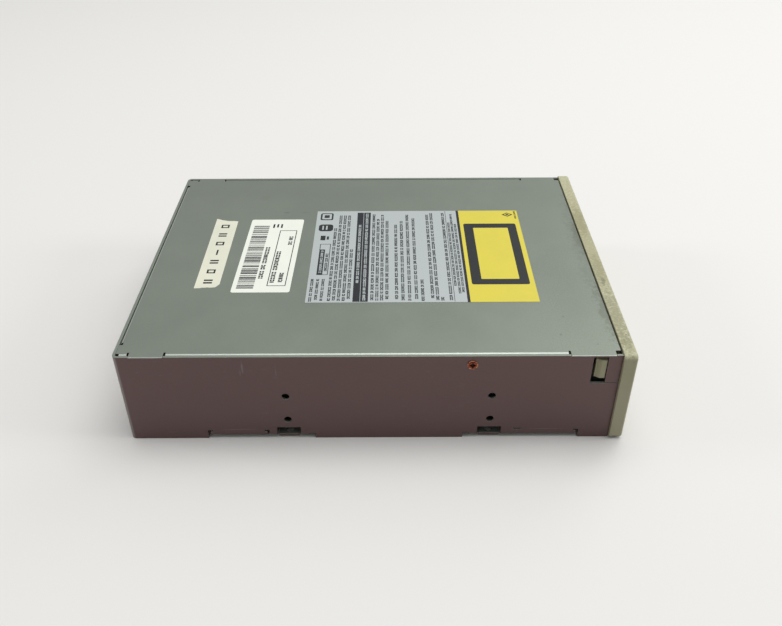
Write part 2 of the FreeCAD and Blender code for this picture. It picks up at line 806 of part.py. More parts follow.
def make_bottom_plate():
    plate = new_piece("bottom_plate")
    half = place.inner - size.flange_bend + size.case_sheet - size.slip
    back = place.rear - size.case_sheet - size.slip
    front = place.case_front + size.cover_gap
    add(plate, "XY", place.flange_top, place.plate_top, folded(
        (-half, front), (half, front), (half, back, size.corner_bend), (-half, back, size.corner_bend)))
    notch_in = place.fix_x - size.fix_hole / 2 - size.lug_margin * 2
    notch_half = size.lug_wide / 2 + size.slip
    for left, right in band(notch_in, place.outer):
        cut(plate, "XY", place.flange_top, place.plate_top,
            *[rectangle(left, right, y - notch_half, y + notch_half)
              for y in (place.fix_rear_y, place.fix_front_y)])
    add(plate, "XY", place.flange_top, size.board_up,
        *[circle(x, y, size.stand_radius) for x in both(place.stand_x)
          for y in (place.stand_front_y, place.stand_rear_y)])
    add(plate, "XY", place.flange_top, size.front_board_up,
        *[circle(x, place.front_stand_y, size.stand_radius) for x in both(place.front_stand_x)])
    cut(plate, "XY", place.flange_top, size.front_board_up,
        *[circle(x, y, size.stud + size.fit) for x in both(place.stand_x)
          for y in (place.stand_front_y, place.stand_rear_y)],
        *[circle(x, place.front_stand_y, size.stud + size.fit) for x in both(place.front_stand_x)],
        *[circle(x, y, size.screw_hole) for x in both(place.boss_x)
          for y in (place.boss_rear_y, place.boss_front_y)])


# Moulded front: bezel with its two latch arms, tray panel, button, wheel and light.

def make_bezel():
    bezel = new_piece("bezel")
    half = place.outer + size.bezel_reach
    top = place.case_high + size.bezel_over
    rim = size.bezel_wall - size.bezel_ease
    behind = place.face + size.bezel_wall
    slot = place.panel_half + size.slip * 2
    slot_low = size.panel_low - size.slip * 2
    slot_high = size.panel_high + size.slip * 2
    corner = size.bezel_round * 2
    add(bezel, "XZ", place.face, place.case_front, folded(
        (-half, size.bezel_low, corner), (half, size.bezel_low, corner),
        (half, top, corner), (-half, top, corner)))
    ease_edges(bezel, size.bezel_round, lambda edge, middle: abs(middle.y - place.face.value) < TINY)
    cut(bezel, "XZ", behind, place.case_front,
        rectangle(rim - half, half - rim, size.bezel_low + rim, top - rim))
    collar = size.bezel_wall / 2
    add(bezel, "XZ", behind, place.case_front - size.cover_gap,
        rectangle(-slot - collar, slot + collar, slot_low - collar, slot_high + collar))
    eject_left = place.eject_x - size.eject_wide / 2 - size.slip
    eject_low = size.control_z - size.eject_high / 2 - size.slip
    eject_right = eject_left + size.eject_wide + size.slip * 2
    eject_high = eject_low + size.eject_high + size.slip * 2
    light_room = size.light_half + collar
    add(bezel, "XZ", behind, place.case_front - size.cover_gap,
        rectangle(eject_left - collar, eject_right + collar, eject_low - collar, eject_high + collar),
        circle(place.pin_hole_x, size.control_z, size.pin_hole * 3),
        rectangle(place.light_x - light_room, place.light_x + light_room,
                  size.control_z - size.light_half, size.control_z + size.light_half))
    slit = size.volume_thick / 2 + size.slip
    slit_half = size.volume_radius * 0.8
    light_hole = size.light_half - size.slip * 2
    cut(bezel, "XZ", place.face, place.case_front,
        rectangle(-slot, slot, slot_low, slot_high),
        rectangle(eject_left, eject_right, eject_low, eject_high),
        circle(place.pin_hole_x, size.control_z, size.pin_hole),
        circle(place.jack_x, size.control_z, size.jack_bore / 2 + size.jack_wall + size.slip),
        rectangle(place.light_x - light_hole, place.light_x + light_hole,
                  size.control_z - size.light_half / 2, size.control_z + size.light_half / 2),
        rectangle(place.volume_x - slit_half, place.volume_x + slit_half,
                  size.control_z - slit, size.control_z + slit))
    arm_out = place.inner - size.slip
    arm_in = arm_out - size.latch_arm
    tongue_front = place.latch_y + size.slip
    tongue_back = tongue_front + size.tongue_wide
    for left, right in band(arm_in, arm_out):
        add(bezel, "XY", place.tongue_low, place.tongue_high,
            rectangle(left, right, place.face + size.bezel_wall / 2, tongue_back))
    catch = place.outer - size.slip
    for side in (-1, 1):
        add(bezel, "XY", place.tongue_low, place.tongue_high, outline(
            (side * (arm_out - size.slip), tongue_front), (side * catch, tongue_front),
            (side * catch, tongue_back - size.tongue_wide / 2), (side * (arm_out - size.slip), tongue_back)))


def make_tray_front():
    panel = new_piece("tray_front")
    back = place.face + size.panel_thick
    shell = size.bezel_wall - size.bezel_ease
    half = place.panel_half
    low, high = size.panel_low, size.panel_high
    corner = size.bezel_round
    add(panel, "XZ", place.face, place.tray_front, folded(
        (-half, low, corner), (half, low, corner), (half, high, corner), (-half, high, corner)))
    inner = half - shell
    for start, stop in ((low + shell, size.tray_low + size.panel_lap),
                        (place.tray_top - size.panel_lap, high - shell)):
        cut(panel, "XZ", back, place.tray_front, rectangle(-inner, inner, start, stop))


def make_eject_button():
    button = new_piece("eject_button")
    left, right = place.eject_x - size.eject_wide / 2, place.eject_x + size.eject_wide / 2
    low, high = size.control_z - size.eject_high / 2, size.control_z + size.eject_high / 2
    corner = size.slip * 2
    wall = size.button_wall
    add(button, "XZ", place.face + size.slip, place.button_back, folded(
        (left, low, corner), (right, low, corner), (right, high, corner), (left, high, corner)))
    cut(button, "XZ", place.face + size.bezel_wall, place.button_back,
        rectangle(left + wall, right - wall, low + wall, high - wall))
    add(button, "XZ", place.face + size.bezel_wall / 2, place.button_back,
        circle(place.eject_x, size.control_z, size.button_post))


def make_eject_switch():
    switch = new_piece("eject_switch")
    front = place.button_back + size.eject_press + size.slip
    half = size.eject_switch_half
    add(switch, "XZ", front, front + size.eject_switch_deep,
        rectangle(place.eject_x - half, place.eject_x + half, place.front_board_top, size.control_z + half))


def make_volume():
    wheel = new_piece("volume_wheel", place.volume_x, place.volume_y)
    low = size.control_z - size.volume_thick / 2
    high = low + size.volume_thick
    rim = size.volume_radius
    bore = size.volume_bore
    ease = size.volume_ease
    turn(wheel, (bore, low), (rim - ease, low), (rim, low + ease), (rim, high - ease), (rim - ease, high),
         (bore, high))
    tooth = wheel.newObject("PartDesign::Pocket", "volume_wheel_grip")
    tooth.Profile = drawn(wheel, "XY", low, [circle(rim + size.grip_radius * 0.4, 0.0, size.grip_radius)])
    bind(tooth, "Length", size.volume_thick)
    tooth.Reversed = True
    grips = wheel.newObject("PartDesign::PolarPattern", "volume_wheel_grips")
    grips.Originals = [tooth]
    grips.Axis = (tooth.Profile[0], ["N_Axis"])
    grips.Angle = 360.0
    bind(grips, "Occurrences", size.volume_grips)
    wheel.Tip = grips
    control = new_piece("volume_control", place.volume_x, place.volume_y)
    half = size.volume_box_half
    add(control, "XY", place.front_board_top, low - size.slip,
        rectangle(-half, half, -size.volume_box_front, size.volume_box_rear))
    add(control, "XY", place.front_board_top, high, circle(0.0, 0.0, bore - size.fit))


def make_phone_jack():
    jack = new_piece("phone_jack")
    front = place.case_front + size.slip
    ferrule = size.jack_bore / 2 + size.jack_wall
    left, right = place.jack_x - size.jack_half, place.jack_x + size.jack_half
    add(jack, "XZ", front, front + size.jack_deep,
        rectangle(left, right, place.front_board_top, size.control_z + size.jack_over))
    add(jack, "XZ", place.face + size.slip, front, circle(place.jack_x, size.control_z, ferrule))
    cut(jack, "XZ", place.face, front + size.jack_deep - 1.0,
        circle(place.jack_x, size.control_z, size.jack_bore / 2))


def make_busy_light():
    light = new_piece("busy_light")
    half_wide = size.light_half - size.slip * 2.5
    half_high = size.light_half / 2 - size.slip / 2
    add(light, "XZ", place.face + size.slip, place.case_front + 4.0,
        rectangle(place.light_x - half_wide, place.light_x + half_wide,
                  size.control_z - half_high, size.control_z + half_high))
    add(light, "XY", place.front_board_top, size.control_z + half_high,
        rectangle(place.light_x - half_wide, place.light_x + half_wide,
                  place.case_front + 1.2, place.case_front + 4.0))


def make_front_board():
    board = new_piece("front_board")
    front, rear = place.case_front + size.front_board_gap, place.front_board_rear
    half = place.front_board_half
    notch = size.load_motor_radius + size.motor_room
    left, right = size.load_motor_x - notch, size.load_motor_x + notch
    neck = front + size.neck_deep
    add(board, "XY", size.front_board_up, place.front_board_top, outline(
        (-half, front), (half, front), (half, rear), (right, rear), (right, neck), (left, neck),
        (left, rear), (-half, rear)))
    cut(board, "XY", size.front_board_up, place.front_board_top,
        *[circle(x, place.front_stand_y, size.stud + size.fit * 2) for x in both(place.front_stand_x)])


# Tray with its disc well, runners and rack, and the frame that it slides in.

def make_tray():
    tray = new_piece("tray")
    corner = size.tray_corner
    for half, top in ((place.runner_half, place.runner_top), (place.tray_half, place.tray_top)):
        add(tray, "XY", size.tray_low, top, folded(
            (-half, place.tray_front), (half, place.tray_front),
            (half, place.tray_rear, corner), (-half, place.tray_rear, corner)))
    cut(tray, "XY", size.tray_low + size.well_floor, place.tray_top,
        circle(0.0, place.spindle_y, place.disc_radius))
    cut(tray, "XY", size.tray_low + size.small_floor, place.tray_top,
        circle(0.0, place.spindle_y, place.small_well / 2))
    slot_front = place.spindle_y - size.slot_half - size.rib / 2
    past = place.tray_rear + size.rib
    cut(tray, "XY", size.tray_low, place.tray_top, folded(
        (-size.slot_half, slot_front, size.slot_round), (size.slot_half, slot_front, size.slot_round),
        (size.slot_half, past), (-size.slot_half, past)))
    rib = size.rib
    for left, right in band(size.slot_half + rib * 2, -place.rack_line - rib * 2):
        cut(tray, "XY", size.tray_low, place.tray_top - rib,
            rectangle(left, right, place.spindle_y + place.disc_radius + rib * 2, place.tray_rear - rib))
    pitch = math.pi * size.gear_module
    line = place.rack_line
    deep = size.gear_module * size.root_depth
    low = place.upper_gear - size.slip
    add(tray, "XY", low, size.tray_low + size.small_floor,
        rectangle(line - deep - rib * 1.2, line - deep, place.tray_front + rib, place.tray_rear - rib))
    first_y = place.drive_y - (size.teeth_ahead + 0.5) * pitch
    half = (pitch / 2 - size.backlash) / 2
    tip = size.gear_module * size.tip_height
    tooth = tray.newObject("PartDesign::Pad", "tray_rack_tooth")
    foot = line - deep - size.slip / 2
    tooth.Profile = drawn(tray, "XY", low, [outline(
        (foot, first_y - half - deep * FLANK), (line + tip, first_y - half + tip * FLANK),
        (line + tip, first_y + half - tip * FLANK), (foot, first_y + half + deep * FLANK))])
    bind(tooth, "Length", size.tray_low - low)
    row = tray.newObject("PartDesign::LinearPattern", "tray_rack")
    row.Originals = [tooth]
    row.Direction = (tooth.Profile[0], ["V_Axis"])
    count = math.floor((number(place.tray_rear) - number(first_y)) / number(pitch))
    row.Mode = "Spacing"
    bind(row, "Offset", pitch)
    row.Occurrences = count
    tray.Tip = row


def bridge_spots():
    """Where the clamp bridge is screwed to the rails."""
    return [(x, place.spindle_y + off)
            for x in both(place.bridge_screw_x) for off in both(size.bridge_screw_off)]


def make_loader_frame():
    frame = new_piece("loader_frame", loose_group=True)
    rail_in, rail_out = place.rail_in, place.rail_out
    front, rear = place.rail_front, place.rail_rear
    for left, right in band(rail_in, rail_out):
        add(frame, "XY", size.rail_low, place.rail_high, rectangle(left, right, front, rear))
    ledge_top = size.tray_low - size.slip
    for left, right in band(rail_in - size.rail_wall, rail_in):
        add(frame, "XY", ledge_top - size.ledge_thick, ledge_top,
            rectangle(left, right, front + size.rib, rear))
    hook_low = place.runner_top + size.slip
    for left, right in band(place.tray_half + size.slip * 2, rail_in):
        add(frame, "XY", hook_low, hook_low + size.hook_thick,
            rectangle(left, right, front + size.front_hook_start, front + size.front_hook_end),
            rectangle(left, right, place.tray_rear - size.rear_hook_start,
                      place.tray_rear - size.rear_hook_end))
    add(frame, "XY", size.deck_low, place.deck_top, rectangle(-rail_in, rail_in, front, place.deck_rear))
    add(frame, "XZ", place.wall_front, place.wall_rear,
        rectangle(-rail_in, rail_in, place.cam_low - size.slip, place.deck_top + 4.0))
    shelf_low = place.cam_low - size.slip - 1.4
    add(frame, "XY", shelf_low, place.cam_low - size.slip,
        rectangle(-rail_in, rail_in, place.cam_front - size.slip - 1.4, place.wall_rear))
    add(frame, "XY", shelf_low, place.cam_low + 1.4,
        rectangle(-rail_in, rail_in, place.cam_front - size.slip - 1.4, place.cam_front - size.slip))
    for left, right in band(8.0, 16.0):
        add(frame, "XY", place.cam_high + size.slip, place.cam_high + 1.5,
            rectangle(left, right, place.cam_front - size.slip, place.wall_rear))
    pin_room = size.lift_pin_radius + size.slip
    pin_low = size.pivot_z - size.lift_drop - pin_room
    cut(frame, "XZ", place.wall_front, place.wall_rear,
        *[rectangle(x - pin_room, x + pin_room, pin_low, size.pivot_z + pin_room)
          for x in both(size.lift_pin_x)])
    bar_top = place.upper_gear - size.slip * 4
    add(frame, "XZ", place.rest_bar, place.rest_bar + size.bar_deep,
        rectangle(-rail_in, rail_in, place.lug_low, bar_top))
    for left, right in band(place.lug_in, place.lug_in + size.lug_thick):
        add(frame, "XY", place.lug_low, bar_top,
            rectangle(left, right, place.pivot_y - size.bush_radius - 1.5, place.rest_bar + 1.0))
    cut(frame, "YZ", -place.lug_in - size.lug_thick, place.lug_in + size.lug_thick,
        circle(place.pivot_y, size.pivot_z, size.bush_radius))
    feet = [(x, y) for x in both(place.boss_x) for y in (place.boss_rear_y, place.boss_front_y)]
    add(frame, "XY", place.plate_top, size.rail_low + size.rib,
        *[circle(x, y, size.boss_radius) for x, y in feet])
    cut(frame, "XY", place.plate_top, place.plate_top + 8.0, *[circle(x, y, size.stud) for x, y in feet])
    cut(frame, "XY", place.rail_high - 7.0, place.rail_high,
        *[circle(x, y, size.stud) for x, y in bridge_spots()])
    cut(frame, "XY", size.deck_low, place.deck_top,
        circle(size.load_motor_x, place.load_motor_y, size.motor_neck + size.slip))
    for x in (place.drive_x, place.pulley_x):
        add(frame, "XY", size.deck_low, place.lower_gear - size.slip, circle(x, place.drive_y, 3.2))
        add(frame, "XY", size.deck_low, size.tray_low - size.slip * 3, circle(x, place.drive_y, size.axle))


def involute(angle):
    return math.tan(angle) - angle


def gear(teeth, module, low, high, turned=0.0):
    """A spur gear with straight-sided approximations of involute flanks, about the upright axis."""
    teeth = round(number(teeth))
    module = number(module)
    pitch = teeth * module / 2
    base = pitch * math.cos(PRESSURE)
    tip = pitch + module * number(size.tip_height)
    foot = pitch - module * number(size.root_depth)
    half = math.pi / (2 * teeth) - number(size.backlash) * module / (2 * pitch)
    spots = []
    for index in range(teeth):
        middle = turned + 2 * math.pi * index / teeth
        flank = []
        for radius in (foot, max(base, foot) * 1.001, pitch, tip):
            pressure = math.acos(min(1.0, base / max(radius, base)))
            flank.append((radius, half + involute(PRESSURE) - involute(pressure)))
        for radius, spread in flank:
            spots.append((radius, middle - spread))
        for radius, spread in reversed(flank):
            spots.append((radius, middle + spread))
    points = [FreeCAD.Vector(radius * math.cos(a), radius * math.sin(a), number(low)) for radius, a in spots]
    wire = Part.makePolygon(points + points[:1])
    return Part.Face(wire).extrude(FreeCAD.Vector(0, 0, number(high - low)))


def barrel(radius, low, high):
    return Part.makeCylinder(number(radius), number(high - low), FreeCAD.Vector(0, 0, number(low)))


def shaped(name, shape, x, y):
    """A piece whose form is worked out from the sheet's values, set at x and y."""
    piece = doc.addObject("Part::Feature", name)
    piece.Label = name
    piece.Shape = shape
    bind(piece, "Placement.Base.x", x)
    bind(piece, "Placement.Base.y", y)
    pieces.append(piece)
    return piece


def grooved(radius, middle):
    """A flat-belt pulley whose groove takes the belt at the given working radius."""
    half = number(size.belt_thick / 2)
    inner = number(radius) - half - number(size.fit)
    edge = inner + 1.5
    flange = 0.8
    room = half + number(size.slip)
    profile = [(0, -room - flange), (edge, -room - flange), (edge, -room), (inner, -room),
               (inner, room), (edge, room), (edge, room + flange), (0, room + flange)]
    points = [FreeCAD.Vector(x, 0, z + number(middle)) for x, z in profile]
    face = Part.Face(Part.makePolygon(points + points[:1]))
    return face.revolve(FreeCAD.Vector(0, 0, 0), FreeCAD.Vector(0, 0, 1), 360)


def make_loading_gears():
    thick = place.gear_thick
    bore = barrel(size.axle + size.fit, size.deck_low, place.tray_top)
    upper = gear(size.drive_small, size.gear_module, place.upper_gear, place.upper_gear + thick, math.pi)
    lower = gear(size.drive_large, size.gear_module, place.lower_gear, place.lower_gear + thick, 0.0)
    hub = barrel(size.axle * 3, place.lower_gear, place.upper_gear + thick)
    double = upper.multiFuse([lower, hub]).cut(bore).removeSplitter()
    shaped("drive_gear", double, place.drive_x, place.drive_y)
    middle = place.belt_z
    facing = math.pi + math.pi / number(size.pulley_teeth)
    pinion = gear(size.pulley_teeth, size.gear_module, place.lower_gear, place.lower_gear + thick, facing)
    hub = barrel(size.axle * 2.2, place.lower_gear, middle)
    wheel = grooved(size.pulley_radius, middle)
    driven = pinion.multiFuse([hub, wheel]).cut(bore).removeSplitter()
    shaped("pulley_gear", driven, place.pulley_x, place.drive_y)
    shaft = barrel(size.shaft_radius, place.load_motor_low + 2.5, middle + 1.5)
    shaped("motor_pulley", grooved(size.motor_pulley_radius, middle).fuse(shaft).removeSplitter(),
           size.load_motor_x, place.load_motor_y)


def make_loading_motor():
    motor = new_piece("loading_motor", size.load_motor_x, place.load_motor_y)
    bore = size.shaft_radius + size.fit
    low = place.load_motor_low
    top = size.deck_low
    turn(motor, (0.0, low), (size.load_motor_radius - 1.0, low), (size.load_motor_radius, low + 1.0),
         (size.load_motor_radius, top), (size.motor_neck, top), (size.motor_neck, top + 1.4),
         (bore, top + 1.4), (bore, low + 2.0), (0.0, low + 2.0))


def make_drive_belt():
    """The belt's two straight runs touch both pulleys, whose centres and radii fix its outline."""
    far = FreeCAD.Vector(number(size.load_motor_x), number(place.load_motor_y), 0)
    near = FreeCAD.Vector(number(place.pulley_x), number(place.drive_y), 0)
    along = far - near
    lean = math.atan2(along.y, along.x)
    half = number(size.belt_thick) / 2
    low = number(place.belt_z) - half

    def loop(offset):
        big = number(size.pulley_radius) + offset
        small = number(size.motor_pulley_radius) + offset
        open_angle = math.acos((big - small) / along.Length)

        def spot(middle, radius, angle):
            return middle + FreeCAD.Vector(radius * math.cos(angle), radius * math.sin(angle), low)

        up, down = lean + open_angle, lean - open_angle
        big_arc = Part.Arc(spot(near, big, up), spot(near, big, lean + math.pi), spot(near, big, down))
        small_arc = Part.Arc(spot(far, small, down), spot(far, small, lean), spot(far, small, up))
        first = Part.LineSegment(spot(near, big, down), spot(far, small, down))
        second = Part.LineSegment(spot(far, small, up), spot(near, big, up))
        wire = Part.Wire([big_arc.toShape(), first.toShape(), small_arc.toShape(), second.toShape()])
        return Part.Face(wire).extrude(FreeCAD.Vector(0, 0, 2 * half))

    shaped("drive_belt", loop(half).cut(loop(-half)), 0.0, 0.0)


def make_limit_switch():
    switch = new_piece("limit_switch")
    left, right = size.limit_x - size.limit_half, size.limit_x + size.limit_half
    front = place.rail_front + size.limit_start
    add(switch, "XY", place.deck_top, place.deck_top + size.limit_deep,
        rectangle(left, right, front, front + size.limit_deep))
    lever = place.rail_front + size.lever_start
    add(switch, "XY", place.deck_top, size.tray_low - size.slip * 2,
        rectangle(size.limit_x - size.lever_half, size.limit_x + size.lever_half,
                  lever, lever + size.lever_deep))


# Lift cam and the traverse that carries the spindle and the pickup.

def make_cam_slider():
    cam = new_piece("cam_slider")
    reach = size.lift_pin_x + size.cam_margin
    add(cam, "XZ", place.cam_front, place.cam_rear, folded(
        (-reach - size.cam_travel, place.cam_low, 1.5), (reach, place.cam_low, 1.5),
        (reach, place.cam_high, 1.5), (-reach - size.cam_travel, place.cam_high, 1.5)))
    run = root(size.cam_travel * size.cam_travel + size.lift_drop * size.lift_drop)
    along_x = size.cam_travel / run
    along_z = size.lift_drop / run
    wide = size.lift_pin_radius + size.slip
    for x in both(size.lift_pin_x):
        high_x, high_z = x + along_x * wide, size.pivot_z + along_z * wide
        low_x, low_z = x - size.cam_travel - along_x * wide, size.pivot_z - size.lift_drop - along_z * wide
        off_x, off_z = along_z * wide, along_x * wide
        cut(cam, "XZ", place.cam_front, place.cam_rear, outline(
            (high_x + off_x, high_z - off_z), (high_x - off_x, high_z + off_z),
            (low_x - off_x, low_z + off_z), (low_x + off_x, low_z - off_z)))


def make_traverse_base():
    base = new_piece("traverse_base")
    half = size.base_half
    add(base, "XY", size.base_low, place.base_top, folded(
        (-half, place.base_front, 3.0), (half, place.base_front, 3.0),
        (half, place.wing_front, 2.0), (place.wing_x, place.wing_front, 3.0),
        (place.wing_x, place.wing_rear, 3.0), (half, place.wing_rear, 2.0),
        (half, place.base_rear, 1.0), (-half, place.base_rear, 1.0)))
    add(base, "XY", size.base_low - 1.5, place.base_top + 2.0,
        rectangle(-half + 3.0, half - 3.0, place.base_front, place.base_front + 3.0))
    cut(base, "XY", size.base_low, place.base_top, folded(
        (-size.window_half, place.window_front, 2.0), (size.window_half, place.window_front, 2.0),
        (size.window_half, place.window_rear, 2.0), (-size.window_half, place.window_rear, 2.0)))
    add(base, "XZ", place.cam_front - size.slip, place.base_front + 1.0,
        *[circle(x, size.pivot_z, size.lift_pin_radius) for x in both(size.lift_pin_x)])
    for left, right in band(half - 1.0, place.lug_in + size.lug_thick - size.slip):
        add(base, "YZ", left, right, circle(place.pivot_y, size.pivot_z, size.pivot_radius))
    block = size.guide_radius * 2
    for y in (place.window_front - 3.0, place.window_rear):
        add(base, "XY", place.base_top - 1.0, size.guide_z + block,
            *[rectangle(x - block, x + block, y, y + 3.0) for x in both(size.guide_x)])
    cut(base, "XZ", place.window_front - 3.0, place.window_rear + 3.0,
        *[circle(x, size.guide_z, size.guide_radius + size.fit) for x in both(size.guide_x)])
    cut(base, "XY", size.base_low, place.base_top,
        circle(0.0, place.spindle_y, size.spindle_neck + size.fit),
        circle(place.sled_gear_x, place.sled_gear_y, size.pivot_radius + size.fit),
        circle(size.sled_motor_x, place.sled_motor_y, size.sled_neck + size.fit))


def make_pivot_bushes():
    bushes = new_piece("pivot_bushes", loose_group=True)
    for left, right in band(place.lug_in, place.lug_in + size.lug_thick):
        add(bushes, "YZ", left, right, circle(place.pivot_y, size.pivot_z, size.bush_radius - size.fit),
            circle(place.pivot_y, size.pivot_z, size.pivot_radius + size.fit))


def make_spindle():
    motor = new_piece("spindle_motor", 0.0, place.spindle_y)
    bore = size.shaft_radius + size.fit
    low = size.base_low - size.spindle_motor_high
    can = size.spindle_motor_radius
    turn(motor, (0.0, low), (can - 0.8, low), (can, low + 0.8), (can, size.base_low - 0.8),
         (can - 0.8, size.base_low), (size.spindle_neck, size.base_low),
         (size.spindle_neck, place.base_top + 1.2), (bore, place.base_top + 1.2),
         (bore, low + 1.2), (0.0, low + 1.2))
    table = new_piece("turntable", 0.0, place.spindle_y)
    seat = size.disc_seat - size.mat_thick
    rim = size.table_radius
    under = seat - 2.2
    turn(table, (0.0, low + 1.5), (size.shaft_radius, low + 1.5), (size.shaft_radius, place.base_top + 2.0),
         (3.8, place.base_top + 2.0), (4.6, under), (rim, under), (rim, seat - 0.4), (rim - 0.4, seat),
         (size.hub_radius, seat), (size.hub_radius, size.disc_seat),
         (size.hub_radius - 1.2, size.disc_seat + 2.0), (size.hub_radius - 2.2, size.disc_seat + 2.4),
         (3.0, size.disc_seat + 2.4), (3.0, size.disc_seat + 1.2), (0.0, size.disc_seat + 1.2))
    mat = new_piece("turntable_mat", 0.0, place.spindle_y)
    add(mat, "XY", seat, size.disc_seat, circle(0.0, 0.0, rim - 0.6), circle(0.0, 0.0, rim - 4.6))


def make_guide_shafts():
    shafts = new_piece("guide_shafts", loose_group=True)
    add(shafts, "XZ", place.window_front - 2.6, place.window_rear + 2.6,
        *[circle(x, size.guide_z, size.guide_radius) for x in both(size.guide_x)])


def make_pickup():
    sled = new_piece("pickup_body")
    start, end = place.sled_start, place.sled_end
    arm = size.guide_x + size.guide_radius * 2
    core = size.guide_x - size.guide_radius * 3
    add(sled, "XY", size.sled_low, size.sled_high, outline(
        (-arm, start + size.arm_wide), (-core, start + size.arm_wide), (-core, start), (arm, start),
        (arm, end), (-core, end), (-core, end - size.arm_wide), (-arm, end - size.arm_wide)))
    half = size.carriage_half
    corner = size.rib
    add(sled, "XY", size.sled_low - size.carriage_deep, size.sled_low, folded(
        (-half, start + 1.0, corner), (half, start + 1.0, corner),
        (half, end - 1.0, corner), (-half, end - 1.0, corner)))
    cut(sled, "XZ", start - 1.0, end + 1.0,
        *[circle(x, size.guide_z, size.guide_radius + size.fit) for x in both(size.guide_x)])
    deep = size.sled_module * size.root_depth
    tip = size.sled_module * size.tip_height
    pitch = math.pi * size.sled_module
    line = size.sled_line
    low = size.sled_low + 0.2
    high = low + size.sled_gear_thick
    rack_start = place.sled_gear_y - size.sled_travel - pitch
    add(sled, "XY", low, high, rectangle(arm - 0.5, line - deep, start, end))
    add(sled, "XY", low, high,
        rectangle(arm + size.slip, line - deep, rack_start, place.sled_gear_y + pitch))
    half = (pitch / 2 - size.backlash * size.sled_module) / 2
    first_y = place.sled_gear_y - (math.floor(number(size.sled_travel) / number(pitch)) + 0.5) * pitch
    tooth = sled.newObject("PartDesign::Pad", "pickup_body_tooth")
    tooth.Profile = drawn(sled, "XY", low, [outline(
        (line - deep - 0.1, first_y - half - deep * FLANK), (line + tip, first_y - half + tip * FLANK),
        (line + tip, first_y + half - tip * FLANK), (line - deep - 0.1, first_y + half + deep * FLANK))])
    bind(tooth, "Length", high - low)
    row = sled.newObject("PartDesign::LinearPattern", "pickup_body_rack")
    row.Originals = [tooth]
    row.Direction = (tooth.Profile[0], ["V_Axis"])
    row.Mode = "Spacing"
    bind(row, "Offset", pitch)
    row.Occurrences = math.floor(number(size.sled_travel) / number(pitch)) + 1
    sled.Tip = row
    cover = new_piece("pickup_cover", 0.0, place.lens_y)
    top = size.disc_seat - 3.0
    half, skin = size.hood_half, size.hood_skin
    front, rear = -size.hood_front, size.hood_rear
    add(cover, "XY", size.sled_high, top, rectangle(-half, half, front, rear))
    cut(cover, "XY", size.sled_high, top - skin,
        rectangle(skin - half, half - skin, front + skin, rear - skin))
    cut(cover, "XY", size.sled_high, top,
        rectangle(-size.hood_window, size.hood_window, -size.holder_front - 0.8, size.holder_rear + 0.8))
    holder = new_piece("lens_holder", 0.0, place.lens_y)
    holder_low = size.sled_high + size.focus_room
    half = size.holder_half
    front, rear = -size.holder_front, size.holder_rear
    add(holder, "XY", holder_low, top - 0.4, folded(
        (-half, front, 1.0), (half, front, 1.0), (half, rear, 1.0), (-half, rear, 1.0)))
    add(holder, "XY", holder_low, top + 0.2, circle(0.0, 0.0, size.lens_radius + size.lens_wall))
    cut(holder, "XY", holder_low + 1.0, top + 0.2, circle(0.0, 0.0, size.lens_radius))
    lens = new_piece("objective_lens", 0.0, place.lens_y)
    turn(lens, (0.0, holder_low + 1.0), (size.lens_radius - size.fit, holder_low + 1.0),
         (size.lens_radius - size.fit, top), (size.lens_radius * 0.7, top + 0.45),
         (size.lens_radius * 0.35, top + 0.62), (0.0, top + 0.66))


def make_sled_drive():
    thick = size.sled_gear_thick
    low = size.base_low - size.slip - thick
    small_low = size.sled_low + 0.2
    lean = math.atan2(number(place.sled_motor_y) - number(place.sled_gear_y),
                      number(size.sled_motor_x) - number(place.sled_gear_x))
    small = gear(size.sled_small, size.sled_module, small_low, small_low + thick, math.pi)
    large = gear(size.sled_large, size.sled_module, low, low + thick, lean)
    shaft = barrel(size.pivot_radius, low, small_low + thick)
    double = small.multiFuse([large, shaft]).removeSplitter()
    shaped("sled_gear", double, place.sled_gear_x, place.sled_gear_y)
    facing = lean + math.pi + math.pi / number(size.sled_pinion_teeth)
    pinion = gear(size.sled_pinion_teeth, size.sled_module, low, low + thick, facing)
    axle = barrel(size.sled_axle, low, place.base_top + size.sled_motor_high - 1.5)
    shaped("sled_pinion", pinion.fuse(axle).removeSplitter(), size.sled_motor_x, place.sled_motor_y)
    motor = new_piece("sled_motor", size.sled_motor_x, place.sled_motor_y)
    bore = size.sled_axle + size.fit
    top = place.base_top + size.sled_motor_high
    can = size.sled_motor_radius
    neck_low = size.base_low + 0.6
    turn(motor, (bore, neck_low), (size.sled_neck, neck_low), (size.sled_neck, place.base_top),
         (can, place.base_top), (can, top - 0.8), (can - 0.8, top), (0.0, top), (0.0, top - 1.2),
         (bore, top - 1.2))


# Disc clamp over the tray.

